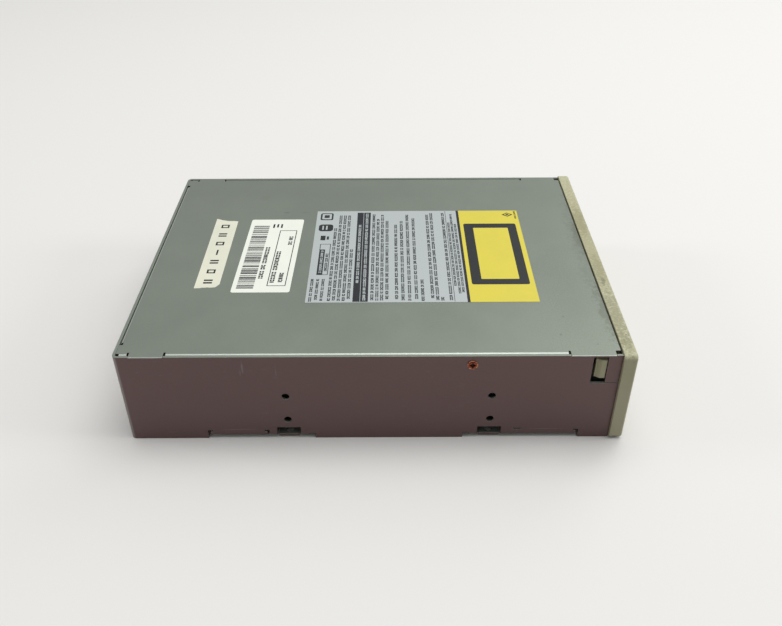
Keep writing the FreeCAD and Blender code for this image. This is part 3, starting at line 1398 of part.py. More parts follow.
def make_clamp():
    bridge = new_piece("clamp_bridge")
    half = size.bridge_half
    low = place.rail_high
    high = place.bridge_top
    front, rear = place.spindle_y - half, place.spindle_y + half
    sheet_thick = size.bridge_sheet
    add(bridge, "XY", low, high, rectangle(-place.rail_out, place.rail_out, front, rear))
    lip = place.rail_in - 2.0
    for a in (front, rear - sheet_thick):
        add(bridge, "XZ", a, a + sheet_thick, rectangle(-lip, lip, low - 2.6, low + 0.2))
    cut(bridge, "XY", low, high, circle(0.0, place.spindle_y, size.clamp_hole),
        *[circle(x, y, size.stud + size.fit * 2) for x, y in bridge_spots()])
    clamper = new_piece("clamper", 0.0, place.spindle_y)
    seat = size.disc_seat + size.slip
    shelf = place.clamp_shelf
    recess = size.hub_radius + 1.0
    rim_top = place.clamp_top
    turn(clamper, (0.0, size.disc_seat + 3.2), (recess, size.disc_seat + 3.2), (recess, seat),
         (size.clamp_neck - 0.5, seat), (size.clamp_neck, seat + 0.5), (size.clamp_neck, shelf),
         (size.clamp_flange, shelf), (size.clamp_flange, rim_top), (size.magnet_radius + size.fit, rim_top),
         (size.magnet_radius + size.fit, shelf - 2.4), (0.0, shelf - 2.4))
    magnet = new_piece("clamp_magnet", 0.0, place.spindle_y)
    add(magnet, "XY", shelf - 2.4, shelf + 0.6, circle(0.0, 0.0, size.magnet_radius),
        circle(0.0, 0.0, size.magnet_radius - 4.0))


# Circuit boards, their parts and the rear connectors.

def make_main_board():
    board = new_piece("main_board")
    rear = place.board_rear
    half = place.board_half - size.slip
    add(board, "XY", size.board_up, place.board_top, rectangle(-half, half, place.board_front, rear))
    cut(board, "XY", size.board_up, place.board_top,
        *[circle(x, y, size.stud + size.fit * 2) for x in both(place.stand_x)
          for y in (place.stand_front_y, place.stand_rear_y)])


def make_chip(name, x, y, half_x, half_y, high):
    """A flat chip with its rows of legs as a thin shelf round its foot."""
    chip = new_piece(name, x, y)
    reach_x, reach_y = half_x + size.leg_reach, half_y + size.leg_reach
    corner = size.chip_corner
    add(chip, "XY", place.board_top, place.board_top + size.leg_thick,
        rectangle(-reach_x, reach_x, -reach_y, reach_y))
    add(chip, "XY", place.board_top + size.leg_thick / 3, place.board_top + high, folded(
        (-half_x, -half_y, corner), (half_x, -half_y, corner),
        (half_x, half_y, corner), (-half_x, half_y, corner)))


def make_chips():
    rear_row = place.rear - size.chip_from_rear
    make_chip("servo_chip", -size.chip_out, place.spindle_y + size.sled_gear_behind,
              size.servo_half, size.servo_half, size.servo_high)
    make_chip("decoder_chip", -size.chip_in, rear_row,
              size.decoder_half, size.decoder_deep, size.decoder_high)
    make_chip("memory_chip", size.chip_out, rear_row, size.memory_half, size.memory_deep, size.memory_high)


def make_capacitors():
    cans = new_piece("capacitors", loose_group=True)
    add(cans, "XY", place.board_top, place.board_top + size.can_high,
        *[circle(size.can_inset - place.board_half, place.board_front + size.can_pitch * step,
                 size.can_radius) for step in (2, 3, 4, 5)])


def make_ports():
    low = place.board_top
    face = place.rear - size.slip
    high = low + size.header_high
    left, right = place.header_left, place.header_left + place.header_wide
    header = new_piece("data_header")
    wall = size.port_wall
    back = face - size.header_deep + wall * 2
    add(header, "XZ", face - size.header_deep, face, rectangle(left, right, low, high))
    cut(header, "XZ", back, face, rectangle(left + wall, right - wall, low + wall, high - wall))
    middle = (left + right) / 2
    cut(header, "XZ", back, face,
        rectangle(middle - size.key_half, middle + size.key_half, high - wall * 1.5, high))
    pins = new_piece("data_pins", loose_group=True)
    half = size.pin_thick / 2
    columns = math.floor(number(place.header_wide - size.header_margin * 3) / number(size.pin_pitch))
    first = middle - size.pin_pitch * (columns - 1) / 2
    rows = [low + size.header_high / 2 + size.pin_pitch * side for side in (-0.5, 0.5)]
    pin = pins.newObject("PartDesign::Pad", "data_pins_pair")
    pin.Profile = drawn(pins, "XZ", back,
                        [rectangle(first - half, first + half, z - half, z + half) for z in rows])
    bind(pin, "Length", size.header_deep - 4.0)
    pin.Reversed = True
    row = pins.newObject("PartDesign::LinearPattern", "data_pins_row")
    row.Originals = [pin]
    row.Direction = (pin.Profile[0], ["H_Axis"])
    row.Mode = "Spacing"
    bind(row, "Offset", size.pin_pitch)
    row.Occurrences = columns
    pins.Tip = row
    socket = new_piece("power_socket")
    left, right = place.power_left, place.power_left + size.power_wide
    high = low + size.power_high
    slope = size.power_slope
    back = face - size.power_deep + size.power_floor
    add(socket, "XZ", face - size.power_deep, face, rectangle(left, right, low, high))
    cut(socket, "XZ", back, face, outline(
        (left + wall, low + wall), (right - wall, low + wall), (right - wall, high - wall - slope),
        (right - wall - slope, high - wall), (left + wall + slope, high - wall),
        (left + wall, high - wall - slope)))
    posts = new_piece("power_pins", loose_group=True)
    middle = (left + right) / 2
    add(posts, "XZ", back, face - wall * 2,
        *[circle(middle + size.pin_pitch * 2 * step, low + size.power_high / 2, size.power_pin)
          for step in (-1.5, -0.5, 0.5, 1.5)])
    jumper = new_piece("jumper_block")
    left, right = place.jumper_left, place.jumper_left + size.jumper_wide
    add(jumper, "XZ", face - 8.0, face - 5.4, rectangle(left, right, low, low + 6.0))
    middle = (left + right) / 2
    columns = [middle + size.pin_pitch * step for step in (-1, 0, 1)]
    levels = [low + 3.0 + size.pin_pitch * side for side in (-0.5, 0.5)]
    add(jumper, "XZ", face - 5.6, face - 1.0,
        *[rectangle(x - half, x + half, z - half, z + half) for x in columns for z in levels])
    cap = new_piece("jumper_cap")
    capped = columns[0]
    add(cap, "XZ", face - 5.4, face - 0.4, rectangle(capped - 1.1, capped + 1.1, low + 0.5, low + 5.5))
    cut(cap, "XZ", face - 5.4, face - 0.9,
        *[rectangle(capped - half, capped + half, z - half, z + half) for z in levels])
    audio = new_piece("audio_socket")
    left, right = place.audio_left, place.audio_left + size.audio_wide
    high = low + size.audio_high
    level = low + size.audio_high / 2
    add(audio, "XZ", face - 9.0, face, rectangle(left, right, low, high))
    cut(audio, "XZ", face - 7.0, face, rectangle(left + wall, right - wall, low + wall, high - wall))
    middle = (left + right) / 2
    columns = [middle + size.pin_pitch * step for step in (-1.5, -0.5, 0.5, 1.5)]
    add(audio, "XZ", face - 7.2, face - 1.5,
        *[rectangle(x - half, x + half, level - half, level + half) for x in columns])


def make_front_cable():
    cable = new_piece("front_cable")
    thick = size.slip
    high = place.front_board_top
    low = place.plate_top + 0.6
    end = place.board_top
    start_y, stop_y = place.front_board_rear - 5.0, place.board_front + 6.0
    drop_y, rise_y = place.front_board_rear + 3.0, place.board_front - 3.0
    run = 2.0
    add(cable, "YZ", place.cable_x - size.cable_half, place.cable_x + size.cable_half, outline(
        (start_y, high), (drop_y, high), (drop_y + run, low), (rise_y - run, low), (rise_y, end),
        (stop_y, end), (stop_y, end + thick), (rise_y - thick, end + thick),
        (rise_y - run - thick, low + thick),
        (drop_y + run + thick, low + thick), (drop_y + thick, high + thick), (start_y, high + thick)))


# Fasteners, each kind as one group, and the printed labels.

def driver_slots(spots, head):
    """The driver's slot across each screw head."""
    reach, half = head - size.driver_margin, size.driver_half
    return [rectangle(x - reach, x + reach, y - half, y + half) for x, y in spots]


def make_screws():
    covers = new_piece("cover_screws", loose_group=True)
    y, z = place.rear - size.screw_rear, place.screw_up
    head = size.screw_head / 2
    rise = size.head_rise
    arm, half = head * 0.6, size.cross_half
    for left, right in band(place.cover_side - size.cover_sheet * 2, place.outer):
        add(covers, "YZ", left, right, circle(y, z, size.screw_shank / 2 - size.fit))
    for left, right in band(place.outer, place.outer + rise):
        add(covers, "YZ", left, right, circle(y, z, head))
    for left, right in band(place.outer + rise, place.outer + rise * 2):
        add(covers, "YZ", left, right, circle(y, z, head - rise * 2))
    for left, right in band(place.outer, place.outer + rise * 3):
        cut(covers, "YZ", left, right, rectangle(y - arm, y + arm, z - half, z + half))
        cut(covers, "YZ", left, right, rectangle(y - half, y + half, z - arm, z + arm))
    lower = new_piece("bottom_screws", loose_group=True)
    spots = [(x, y) for x in both(place.boss_x) for y in (place.boss_rear_y, place.boss_front_y)]
    low = size.flange_low - size.thin_head_high
    add(lower, "XY", low, size.flange_low, *[circle(x, y, size.bottom_head) for x, y in spots])
    add(lower, "XY", size.flange_low - 0.1, place.plate_top + 6.0,
        *[circle(x, y, size.stud - size.fit) for x, y in spots])
    cut(lower, "XY", low, size.flange_low - 0.2, *driver_slots(spots, size.bottom_head))
    boards = new_piece("board_screws", loose_group=True)
    for level, across, rows in ((place.board_top, place.stand_x, (place.stand_front_y, place.stand_rear_y)),
                                (place.front_board_top, place.front_stand_x, (place.front_stand_y,))):
        spots = [(x, y) for x in both(across) for y in rows]
        top = level + size.pan_high
        add(boards, "XY", level, top, *[circle(x, y, size.board_head) for x, y in spots])
        add(boards, "XY", place.flange_top, level + 0.5, *[circle(x, y, size.stud) for x, y in spots])
        cut(boards, "XY", top - size.driver_deep, top, *driver_slots(spots, size.board_head))
    upper = new_piece("bridge_screws", loose_group=True)
    spots = bridge_spots()
    top = place.bridge_top + size.pan_high
    add(upper, "XY", place.bridge_top, top, *[circle(x, y, size.bridge_head) for x, y in spots])
    add(upper, "XY", place.rail_high - 6.0, place.bridge_top + 0.5,
        *[circle(x, y, size.stud - size.fit) for x, y in spots])
    cut(upper, "XY", top - size.driver_deep, top, *driver_slots(spots, size.bridge_head))


def make_label(name, x, y, wide, long, skew_x, skew_y, rounding):
    """A label about its middle at x and y, with its ends drawn aside by the skews."""
    label = new_piece(name, x, y)
    half_x, half_y = long / 2, wide / 2
    low = place.case_high
    add(label, "XY", low, low + size.label_thick, outline(
        (-half_x - skew_y, half_y), (-half_x + skew_y, -half_y - skew_x),
        (half_x - skew_y, -half_y + skew_x), (half_x + skew_y, half_y)))
    if rounding:
        ease_edges(label, rounding, lambda edge, middle: abs(edge.tangentAt(edge.FirstParameter).z) > 0.9)


def make_labels():
    make_label("tape_label", size.tape_shift, place.tape_y, size.tape_wide, size.tape_long,
               floor, size.tape_skew, None)
    make_label("white_label", size.white_shift, place.white_y, size.white_wide, size.white_long,
               size.white_skew, floor, size.label_corner)
    make_label("rating_label", size.plate_shift, place.plate_y, size.plate_wide, size.plate_long,
               floor, floor, None)


def make_all():
    make_case()
    make_top_cover()
    make_bottom_plate()
    make_bezel()
    make_tray_front()
    make_eject_button()
    make_eject_switch()
    make_volume()
    make_phone_jack()
    make_busy_light()
    make_front_board()
    make_tray()
    make_loader_frame()
    make_loading_gears()
    make_loading_motor()
    make_drive_belt()
    make_limit_switch()
    make_cam_slider()
    make_traverse_base()
    make_pivot_bushes()
    make_spindle()
    make_guide_shafts()
    make_pickup()
    make_sled_drive()
    make_clamp()
    make_main_board()
    make_chips()
    make_capacitors()
    make_ports()
    make_front_cable()
    make_screws()
    make_labels()


def save_all():
    doc.recompute()
    for item in doc.Objects:
        if "Invalid" in item.State or "Error" in item.State:
            raise RuntimeError(f"{item.Label} failed: {item.State}")
    for piece in pieces:
        if piece.Shape.isNull() or not piece.Shape.isValid() or not piece.Shape.Solids:
            raise RuntimeError(f"{piece.Label} has no valid solid")
    os.makedirs("parts", exist_ok=True)
    for piece in pieces:
        piece.Shape.exportStep(f"parts/{piece.Label}.step")
        print(piece.Label, len(piece.Shape.Solids), round(piece.Shape.Volume, 1))


make_all()
save_all()
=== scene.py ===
"""Finishes, printed labels and studio of a half-height disc drive, laid over its fixed frame."""

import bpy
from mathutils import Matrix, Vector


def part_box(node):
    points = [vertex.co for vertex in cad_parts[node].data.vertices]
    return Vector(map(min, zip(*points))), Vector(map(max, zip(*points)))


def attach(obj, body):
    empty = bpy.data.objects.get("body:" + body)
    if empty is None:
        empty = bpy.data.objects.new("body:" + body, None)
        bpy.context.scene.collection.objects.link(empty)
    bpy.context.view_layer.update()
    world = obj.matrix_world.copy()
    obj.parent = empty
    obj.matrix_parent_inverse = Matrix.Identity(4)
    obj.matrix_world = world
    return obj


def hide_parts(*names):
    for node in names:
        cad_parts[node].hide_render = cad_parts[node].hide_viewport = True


bl_info = {
    "name": "Disc Drive Finishes",
    "version": (1, 0, 0),
    "blender": (4, 5, 0),
    "location": "3D View > Sidebar > Disc Drive",
    "description": "Finishes, printed labels and studio of a half-height disc drive",
    "category": "Object",
}

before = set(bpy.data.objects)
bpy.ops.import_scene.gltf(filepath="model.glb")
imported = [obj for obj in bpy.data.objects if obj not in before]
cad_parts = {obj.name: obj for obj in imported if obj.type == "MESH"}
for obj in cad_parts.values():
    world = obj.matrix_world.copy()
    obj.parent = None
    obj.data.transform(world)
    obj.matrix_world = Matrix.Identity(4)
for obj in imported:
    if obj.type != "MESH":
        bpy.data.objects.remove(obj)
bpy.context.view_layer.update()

import math
import random

import bpy
from bpy.props import FloatProperty, FloatVectorProperty, PointerProperty
from mathutils import Matrix, Vector

MM = 0.001

# Past every side of the drive, in metres
FAR = 1.0

# Most values of a noise lie between these two
MIDDLE = (0.3, 0.7)

# The case's wall, the top of its lugs, and the cover's lip with the soft edge of its painted highlight
CASE_WALL = 0.95 * MM
LUG_TOP = 8.0 * MM
LIP = 0.3 * MM
LIP_FADE = 0.08 * MM

# Circuit boards: spacing of tracks and pads, cells of one track direction, and how far legs reach out
TRACK_PITCH = 0.9 * MM
PAD_PITCH = 2.54 * MM
TRACK_CELL = 6.5 * MM
LEG_REACH = 1.2 * MM

# Spacing of the flat cable's wires
WIRE_PITCH = 1.27 * MM

# Rows of print, in shares of a row's height: widths of its blocks, heights of blocks and bars, gaps
BLOCK_WIDE = (0.38, 0.62)
BLOCK_TALL = 0.92
BAR_TALL = 0.4
BLOCK_GAP = 0.17
GROUP_GAP = 0.5


# Settings

def tint(code):
    """A colour written as six hexadecimal digits, as the linear values that shaders use."""
    shares = [int(code[i:i + 2], 16) / 255 for i in (0, 2, 4)]
    return [s / 12.92 if s <= 0.04045 else ((s + 0.055) / 1.055) ** 2.4 for s in shares]


def opaque(code):
    """A written colour with full alpha."""
    return (*tint(code), 1.0)


def scaled(base, factor):
    """A colour made lighter or darker, still with full alpha."""
    return (*(min(1.0, factor * part) for part in base[:3]), 1.0)


def colour(name, description, code):
    """A colour setting of the drive, with a written colour as its default."""
    return FloatVectorProperty(
        name=name, description=description, default=tint(code), subtype="COLOR", size=3, min=0, max=1)


def length(name, description, millimetres):
    """A length setting of the drive, with a default in millimetres."""
    return FloatProperty(
        name=name, description=description, default=millimetres * MM, unit="LENGTH", min=0, precision=5)


class DriveColours(bpy.types.PropertyGroup):
    """Colours of the drive's finishes."""
    cover: colour("Cover", "Zinc-plated sheet of the top cover", "8b9388")
    # The case's sides are the same zinc steel as the cover; this darker, warmer grey is a painted reflection
    # and painted shade
    side: colour("Case", "Plated sheet of the case's sides", "6b5654")
    bright: colour("Bare steel", "Steel where the plating is worn or cut", "c9ccc8")
    grime: colour("Grime", "Brown dirt on the bezel and the cover", "6e6844")
    gap: colour("Gap", "Shade between the cover and the bezel", "14150f")
    bezel: colour("Bezel", "Plastic of the bezel", "bebe9f")
    aged: colour("Aged plastic", "The bezel's plastic where light has yellowed it", "b6b48f")
    button: colour("Buttons", "Plastic of the eject button", "bfbda6")
    tray: colour("Tray", "Moulded plastic of the disc tray", "2d2e30")
    loader: colour("Frames", "Moulded plastic of the frames", "37393b")
    gear: colour("Gears", "Acetal of the gears and the slider", "dedbcb")
    motor: colour("Motors", "Steel of the motor cans", "b4b6b4")
    shaft: colour("Shafts", "Ground steel of the guide shafts", "d0d2d3")
    rubber: colour("Rubber", "Belt, bushes and turntable mat", "1d1d1f")
    alloy: colour("Casting", "Die-cast body of the pickup", "9a9c9f")
    board: colour("Board", "Solder mask of the circuit boards", "1f5a38")
    copper: colour("Tracks", "Tracks under the solder mask", "3f8450")
    solder: colour("Solder", "Tinned pads, legs and pins", "c9cac6")
    chip: colour("Chips", "Moulded epoxy of the chips", "242527")
    port_black: colour("Black ports", "Glass-filled plastic of the black connectors", "1b1c1e")
    port_white: colour("White ports", "Nylon of the white connectors", "e4e0cf")
    screw_copper: colour("Cover screws", "Copper plating of the cover's screws", "7f3c29")
    ribbon: colour("Ribbon", "Insulation of the flat cable", "a9acae")
    lens: colour("Lens", "Tint of the lens coating", "cfe0ff")
    tape: colour("Tape", "Cream tape label", "e0e0cd")
    paper: colour("Paper", "White label", "ebefe4")
    silver: colour("Silver", "Silver ground of the rating label", "c0c8c7")
    yellow: colour("Yellow", "Yellow field of the rating label", "dbcd48")
    band: colour("Dark band", "Dark band of the rating label", "1c1f26")
    ink: colour("Ink", "Black print", "1d1f20")
    small_ink: colour("Small print", "Print of the small rows", "24282b")
    floor: colour("Floor", "Studio floor", "e6e5e2")
    bounce: colour("Floor's bounce", "Light that the floor throws back on the drive", "857c7a")


class DriveSizes(bpy.types.PropertyGroup):
    """Sizes of the print and of the finishes."""
    ink_rise: length("Ink", "How far print stands above its label", 0.03)
    edge_reach: length("Edge wear", "Width of the bright line along a sheet's edges", 0.25)
    bend_round: length("Edge round", "Softening of an edge by its shading", 0.3)
    floor_reach: length("Floor", "Half the width of the studio floor", 20000)


def drawn(name):
    """One of the drive's colours, with full alpha."""
    return (*getattr(bpy.context.scene.drive_colours, name), 1.0)


def sizes():
    """The drive's size settings."""
    return bpy.context.scene.drive_sizes


# Node trees

def feed(tree, node, inputs):
    """Feeds a node's inputs with values or with other nodes' outputs."""
    for name, value in inputs.items():
        if isinstance(value, bpy.types.NodeSocket):
            tree.links.new(value, node.inputs[name])
        else:
            node.inputs[name].default_value = value


def put(tree, kind, inputs=None, **settings):
    """Adds a shader node with its own settings, and feeds its inputs."""
    node = tree.nodes.new("ShaderNode" + kind)
    for name, value in settings.items():
        setattr(node, name, value)
    feed(tree, node, inputs or {})
    return node


def here(tree):
    """The point that is shaded, in the part's own frame, in metres."""
    return put(tree, "TexCoord").outputs["Object"]


def maths(tree, operation, first, second=0.0):
    """One sum on two values."""
    return put(tree, "Math", {0: first, 1: second}, operation=operation).outputs[0]


def product(tree, *values):
    """All of these values multiplied together."""
    total = values[0]
    for value in values[1:]:
        total = maths(tree, "MULTIPLY", total, value)
    return total


def vector(tree, operation, first, second=(0, 0, 0)):
    """One sum on two vectors, which gives a vector, or a value for a length or a dot product."""
    node = put(tree, "VectorMath", {0: first, 1: second}, operation=operation)
    return node.outputs["Value" if operation in ("LENGTH", "DOT_PRODUCT") else "Vector"]


def ramp(tree, value, low, high, at_low=0.0, at_high=1.0):
    """A smooth step from at_low to at_high, as the value goes from low to high."""
    node = put(tree, "MapRange", {
        "Value": value, "From Min": low, "From Max": high, "To Min": at_low, "To Max": at_high},
        interpolation_type="SMOOTHSTEP")
    return node.outputs["Result"]


def toned(tree, tone, low, high):
    """A value that drifts with a noise, from low to high."""
    return ramp(tree, tone, *MIDDLE, low, high)


def mix(tree, share, first, second):
    """The first colour at a share of 0, the second at 1."""
    return put(tree, "Mix", {0: share, 6: first, 7: second}, data_type="RGBA").outputs[2]


def layered(tree, shade, *layers):
    """Lays colours over a shade, each with its share."""
    for share, over in layers:
        shade = mix(tree, share, shade, over)
    return shade


def noise(tree, point, scale, detail=2.0, roughness=0.5):
    """Cloudy noise from 0 to 1."""
    return put(tree, "TexNoise", {
        "Vector": point, "Scale": scale, "Detail": detail, "Roughness": roughness}).outputs["Fac"]


def split(tree, point):
    """The X, Y and Z of a point or a direction."""
    return put(tree, "SeparateXYZ", {0: point}).outputs


def facing(tree):
    """The X, Y and Z of the direction in which a face looks."""
    return split(tree, put(tree, "NewGeometry").outputs["Normal"])


# Effects that several finishes share

def effect(name, outputs, **inputs):
    """Turns a function that wires nodes into a node group with these sockets, made once. A default
    of three numbers makes a vector socket."""
    def group_of(wire):
        def group():
            found = bpy.data.node_groups.get(name)
            if found:
                return found
            tree = bpy.data.node_groups.new(name, "ShaderNodeTree")
            for label, value in inputs.items():
                kind = "NodeSocketVector" if isinstance(value, tuple) else "NodeSocketFloat"
                socket = tree.interface.new_socket(name=label, in_out="INPUT", socket_type=kind)
                socket.default_value = value
            for label in outputs:
                tree.interface.new_socket(name=label, in_out="OUTPUT", socket_type="NodeSocketFloat")
            start = tree.nodes.new("NodeGroupInput").outputs
            end = tree.nodes.new("NodeGroupOutput").inputs
            for label, value in wire(tree, start).items():
                tree.links.new(value, end[label])
            return tree
        return group
    return group_of


def use(tree, group, **inputs):
    """Places an effect in a finish, with this finish's own values, and gives its outputs."""
    return put(tree, "Group", inputs, node_tree=group()).outputs


@effect("Sheet grain", ("Tone", "Height"), Grains=(900, 2600, 2600), Mottle=24.0)
def sheet_grain(tree, start):
    """Rolled and plated sheet: drifting tone, and the height of its fine grain."""
    point = here(tree)
    fine = noise(tree, vector(tree, "MULTIPLY", point, start["Grains"]), 1.0, 3.0, 0.65)
    broad = noise(tree, point, start["Mottle"], 4.0, 0.6)
    tone = maths(tree, "ADD", product(tree, fine, 0.4), product(tree, broad, 0.6))
    return {"Tone": tone, "Height": fine}


@effect("Fine scratches", ("Mask",), Stretch=(14, 1400, 1400), Angle=0.4, Amount=1.0)
def fine_scratches(tree, start):
    """Hair scratches along one axis of the part, turned by an angle about Z and broken up."""
    point = put(tree, "VectorRotate", {
        "Vector": here(tree), "Angle": start["Angle"]}, rotation_type="Z_AXIS").outputs[0]
    hairs = noise(tree, vector(tree, "MULTIPLY", point, start["Stretch"]), 1.0, 1.0)
    lines = ramp(tree, hairs, 0.66, 0.72)
    broken = ramp(tree, noise(tree, point, 45.0, 2.0), 0.5, 0.66)
    return {"Mask": product(tree, lines, broken, start["Amount"])}


@effect("Worn edge", ("Mask",), Reach=0.00025, Amount=1.0)
def worn_edge(tree, start):
    """A broken bright line along the sharp edges of a piece."""
    rounded = put(tree, "Bevel", {"Radius": start["Reach"]}, samples=6).outputs[0]
    flat = put(tree, "NewGeometry").outputs["Normal"]
    turned = maths(tree, "SUBTRACT", 1.0, vector(tree, "DOT_PRODUCT", rounded, flat))
    line = ramp(tree, turned, 0.012, 0.12)
    broken = ramp(tree, noise(tree, here(tree), 260.0, 3.0), 0.34, 0.6)
    return {"Mask": product(tree, line, broken, start["Amount"])}


@effect("Stain and shade patch", ("Mask",), Place=(0, 0, 0), Reach=(0.01, 0.01, 0.01), Ragged=1.6, Fineness=320.0)
def stain_and_shade_patch(tree, start):
    """A ragged patch about a place on the part, full at its middle and gone at its reach."""
    point = here(tree)
    away = vector(tree, "DIVIDE", vector(tree, "SUBTRACT", point, start["Place"]), start["Reach"])
    rough = maths(tree, "SUBTRACT", noise(tree, point, start["Fineness"], 4.0, 0.65), 0.5)
    distance = maths(tree, "ADD", vector(tree, "LENGTH", away),
                     product(tree, rough, start["Ragged"]))
    return {"Mask": ramp(tree, distance, 1.0, 0.35)}


@effect("Moulded skin", ("Height", "Tone"), Fineness=2400.0)
def moulded_skin(tree, start):
    """The spark-eroded skin of moulded plastic: a fine height, and a tone that drifts with the flow."""
    point = here(tree)
    pits = put(tree, "TexVoronoi", {"Vector": point, "Scale": start["Fineness"]}).outputs[0]
    fine = noise(tree, point, product(tree, start["Fineness"], 0.6), 2.0)
    flow = noise(tree, vector(tree, "MULTIPLY", point, (18, 34, 60)), 1.0, 3.0, 0.55)
    return {"Height": maths(tree, "ADD", pits, fine), "Tone": flow}


@effect("Settled dust", ("Mask",), Amount=0.3)
def settled_dust(tree, start):
    """Dust on the faces that look up, thicker in soft drifts."""
    up = ramp(tree, facing(tree)["Z"], 0.3, 0.9)
    point = here(tree)
    drift = ramp(tree, noise(tree, point, 38.0, 5.0, 0.7), 0.42, 0.75)
    specks = ramp(tree, noise(tree, point, 2600.0, 1.0), 0.62, 0.72)
    dust = maths(tree, "ADD", product(tree, drift, 0.5), product(tree, specks, 0.6))
    return {"Mask": product(tree, up, dust, start["Amount"])}


@effect("Inside box", ("Mask",), Low=(-FAR, -FAR, -FAR), High=(FAR, FAR, FAR))
def inside_box(tree, start):
    """1 inside a box of the part, 0 outside it; a side that isn't given is past the drive."""
    point = here(tree)
    past_low = split(tree, vector(tree, "SUBTRACT", point, start["Low"]))
    before_high = split(tree, vector(tree, "SUBTRACT", start["High"], point))
    least = past_low["X"]
    for depth in (past_low["Y"], past_low["Z"], *(before_high[axis] for axis in "XYZ")):
        least = maths(tree, "MINIMUM", least, depth)
    return {"Mask": maths(tree, "GREATER_THAN", least, 0.0)}


@effect("Board tracks", ("Tracks", "Pads", "Height"), Pitch=TRACK_PITCH)
def board_tracks(tree, start):
    """Tracks that run one way or the other in each cell of a circuit board, and round pads."""
    point = here(tree)
    cell = vector(tree, "FLOOR", vector(tree, "DIVIDE", point, [TRACK_CELL] * 3))
    chance = put(tree, "TexWhiteNoise", {"Vector": cell}, noise_dimensions="2D").outputs["Value"]
    axes = split(tree, point)
    lines = []
    for axis in "XY":
        saw = maths(tree, "PINGPONG", maths(tree, "DIVIDE", axes[axis], start["Pitch"]), 0.5)
        lines.append(ramp(tree, saw, 0.17, 0.23))
    crosswise = maths(tree, "GREATER_THAN", chance, 0.5)
    pick = put(tree, "Mix", {0: crosswise, 2: lines[0], 3: lines[1]}, data_type="FLOAT")
    busy = ramp(tree, noise(tree, point, 55.0, 1.0), 0.4, 0.46)
    tracks = product(tree, pick.outputs[0], busy)
    dots = put(tree, "TexVoronoi", {
        "Vector": vector(tree, "MULTIPLY", point, (1, 1, 0)), "Scale": 1 / PAD_PITCH, "Randomness": 0.35})
    ring = ramp(tree, dots.outputs[0], 0.24, 0.2)
    sparse = ramp(tree, noise(tree, point, 70.0, 1.0), 0.56, 0.6)
    pads = product(tree, ring, sparse)
    return {"Tracks": tracks, "Pads": pads, "Height": maths(tree, "MAXIMUM", tracks, pads)}


# Finishes

def new_finish(name):
    """A new material and its node tree."""
    material = bpy.data.materials.new(name)
    material.use_nodes = True
    return material, material.node_tree


def finish(material, **inputs):
    """Feeds a material's Principled shader, and gives the material."""
    tree = material.node_tree
    named = {name.replace("_", " "): value for name, value in inputs.items()}
    feed(tree, tree.nodes["Principled BSDF"], named)
    return material


def bump(tree, height, distance, strength, **under):
    """The normal of a surface with this height on it, over a Normal if one is given."""
    return put(tree, "Bump", {
        "Height": height, "Distance": distance, "Strength": strength, **under}).outputs["Normal"]


def rounded(tree):
    """The normal of an edge that the shading rounds off."""
    return put(tree, "Bevel", {"Radius": sizes().bend_round}, samples=6).outputs[0]


def stained_and_shaded(tree, base, marks):
    """Lays stains, and patches of painted shade, on a colour: each mark has a place, a reach, a colour, how
    much it covers, and, where it isn't a plain one, how ragged and how fine it is."""
    for place, reach, dirt, cover, *speckle in marks:
        mask = use(tree, stain_and_shade_patch, Place=[v * MM for v in place], Reach=[v * MM for v in reach],
                   **dict(zip(("Ragged", "Fineness"), speckle)))["Mask"]
        base = mix(tree, product(tree, mask, cover), base, dirt)
    return base


def flat_marks(spots, height, depth):
    """Marks on a level face, from spots that start with the X and Y of their middle and reach."""
    return [((x, y, height), (wide, long, depth), *rest) for x, y, wide, long, *rest in spots]


def cover_folds(tree, shade):
    """Gives the cover's upright faces the case's colour, a painted reflection and shade; paints a highlight
    on its bends and lips, and shade on its front face in the gap.
    """
    low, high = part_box("top_cover")
    up = facing(tree)["Z"]
    # Painted highlight on the cover's bends, and below it on the upper outer lips
    bend = product(tree, ramp(tree, up, 0.15, 0.4), ramp(tree, up, 0.99, 0.93))
    place = split(tree, here(tree))
    sideways = ramp(tree, maths(tree, "ABSOLUTE", place["X"]), high.x - LIP, high.x - LIP + LIP_FADE)
    upper = ramp(tree, place["Z"], high.z - LIP, high.z - LIP + LIP_FADE)
    painted_highlight = maths(tree, "MAXIMUM", bend, product(tree, sideways, upper))
    # Painted shade on the cover's front face, in the gap by the bezel
    front = ramp(tree, place["Y"], low.y + 0.06 * MM, low.y + 0.02 * MM)
    # Upright faces take the side colour, a painted reflection and shade
    return layered(tree, shade, (ramp(tree, up, 0.3, 0.1), drawn("side")),
                   (product(tree, painted_highlight, 0.8), opaque("ccd3ca")), (front, drawn("gap")))


def case_folds(tree, shade):
    """Paints a highlight on the case's upright bends, and gives its level edges and its inside the cover's
    zinc tone.
    """
    low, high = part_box("case")
    look = facing(tree)
    # Painted highlight on the upright corner bends
    bend = maths(tree, "ABSOLUTE", product(tree, look["X"], look["Y"]))
    within = use(tree, inside_box, Low=low + Vector((CASE_WALL, CASE_WALL, LUG_TOP)),
                 High=high - Vector((CASE_WALL, CASE_WALL, 0.0)))["Mask"]
    level = ramp(tree, maths(tree, "ABSOLUTE", look["Z"]), 0.3, 0.7)
    return layered(tree, shade, (ramp(tree, bend, 0.1, 0.35, 0.0, 0.4), opaque("a7a8a2")),
                   (maths(tree, "MAXIMUM", within, level), drawn("cover")))


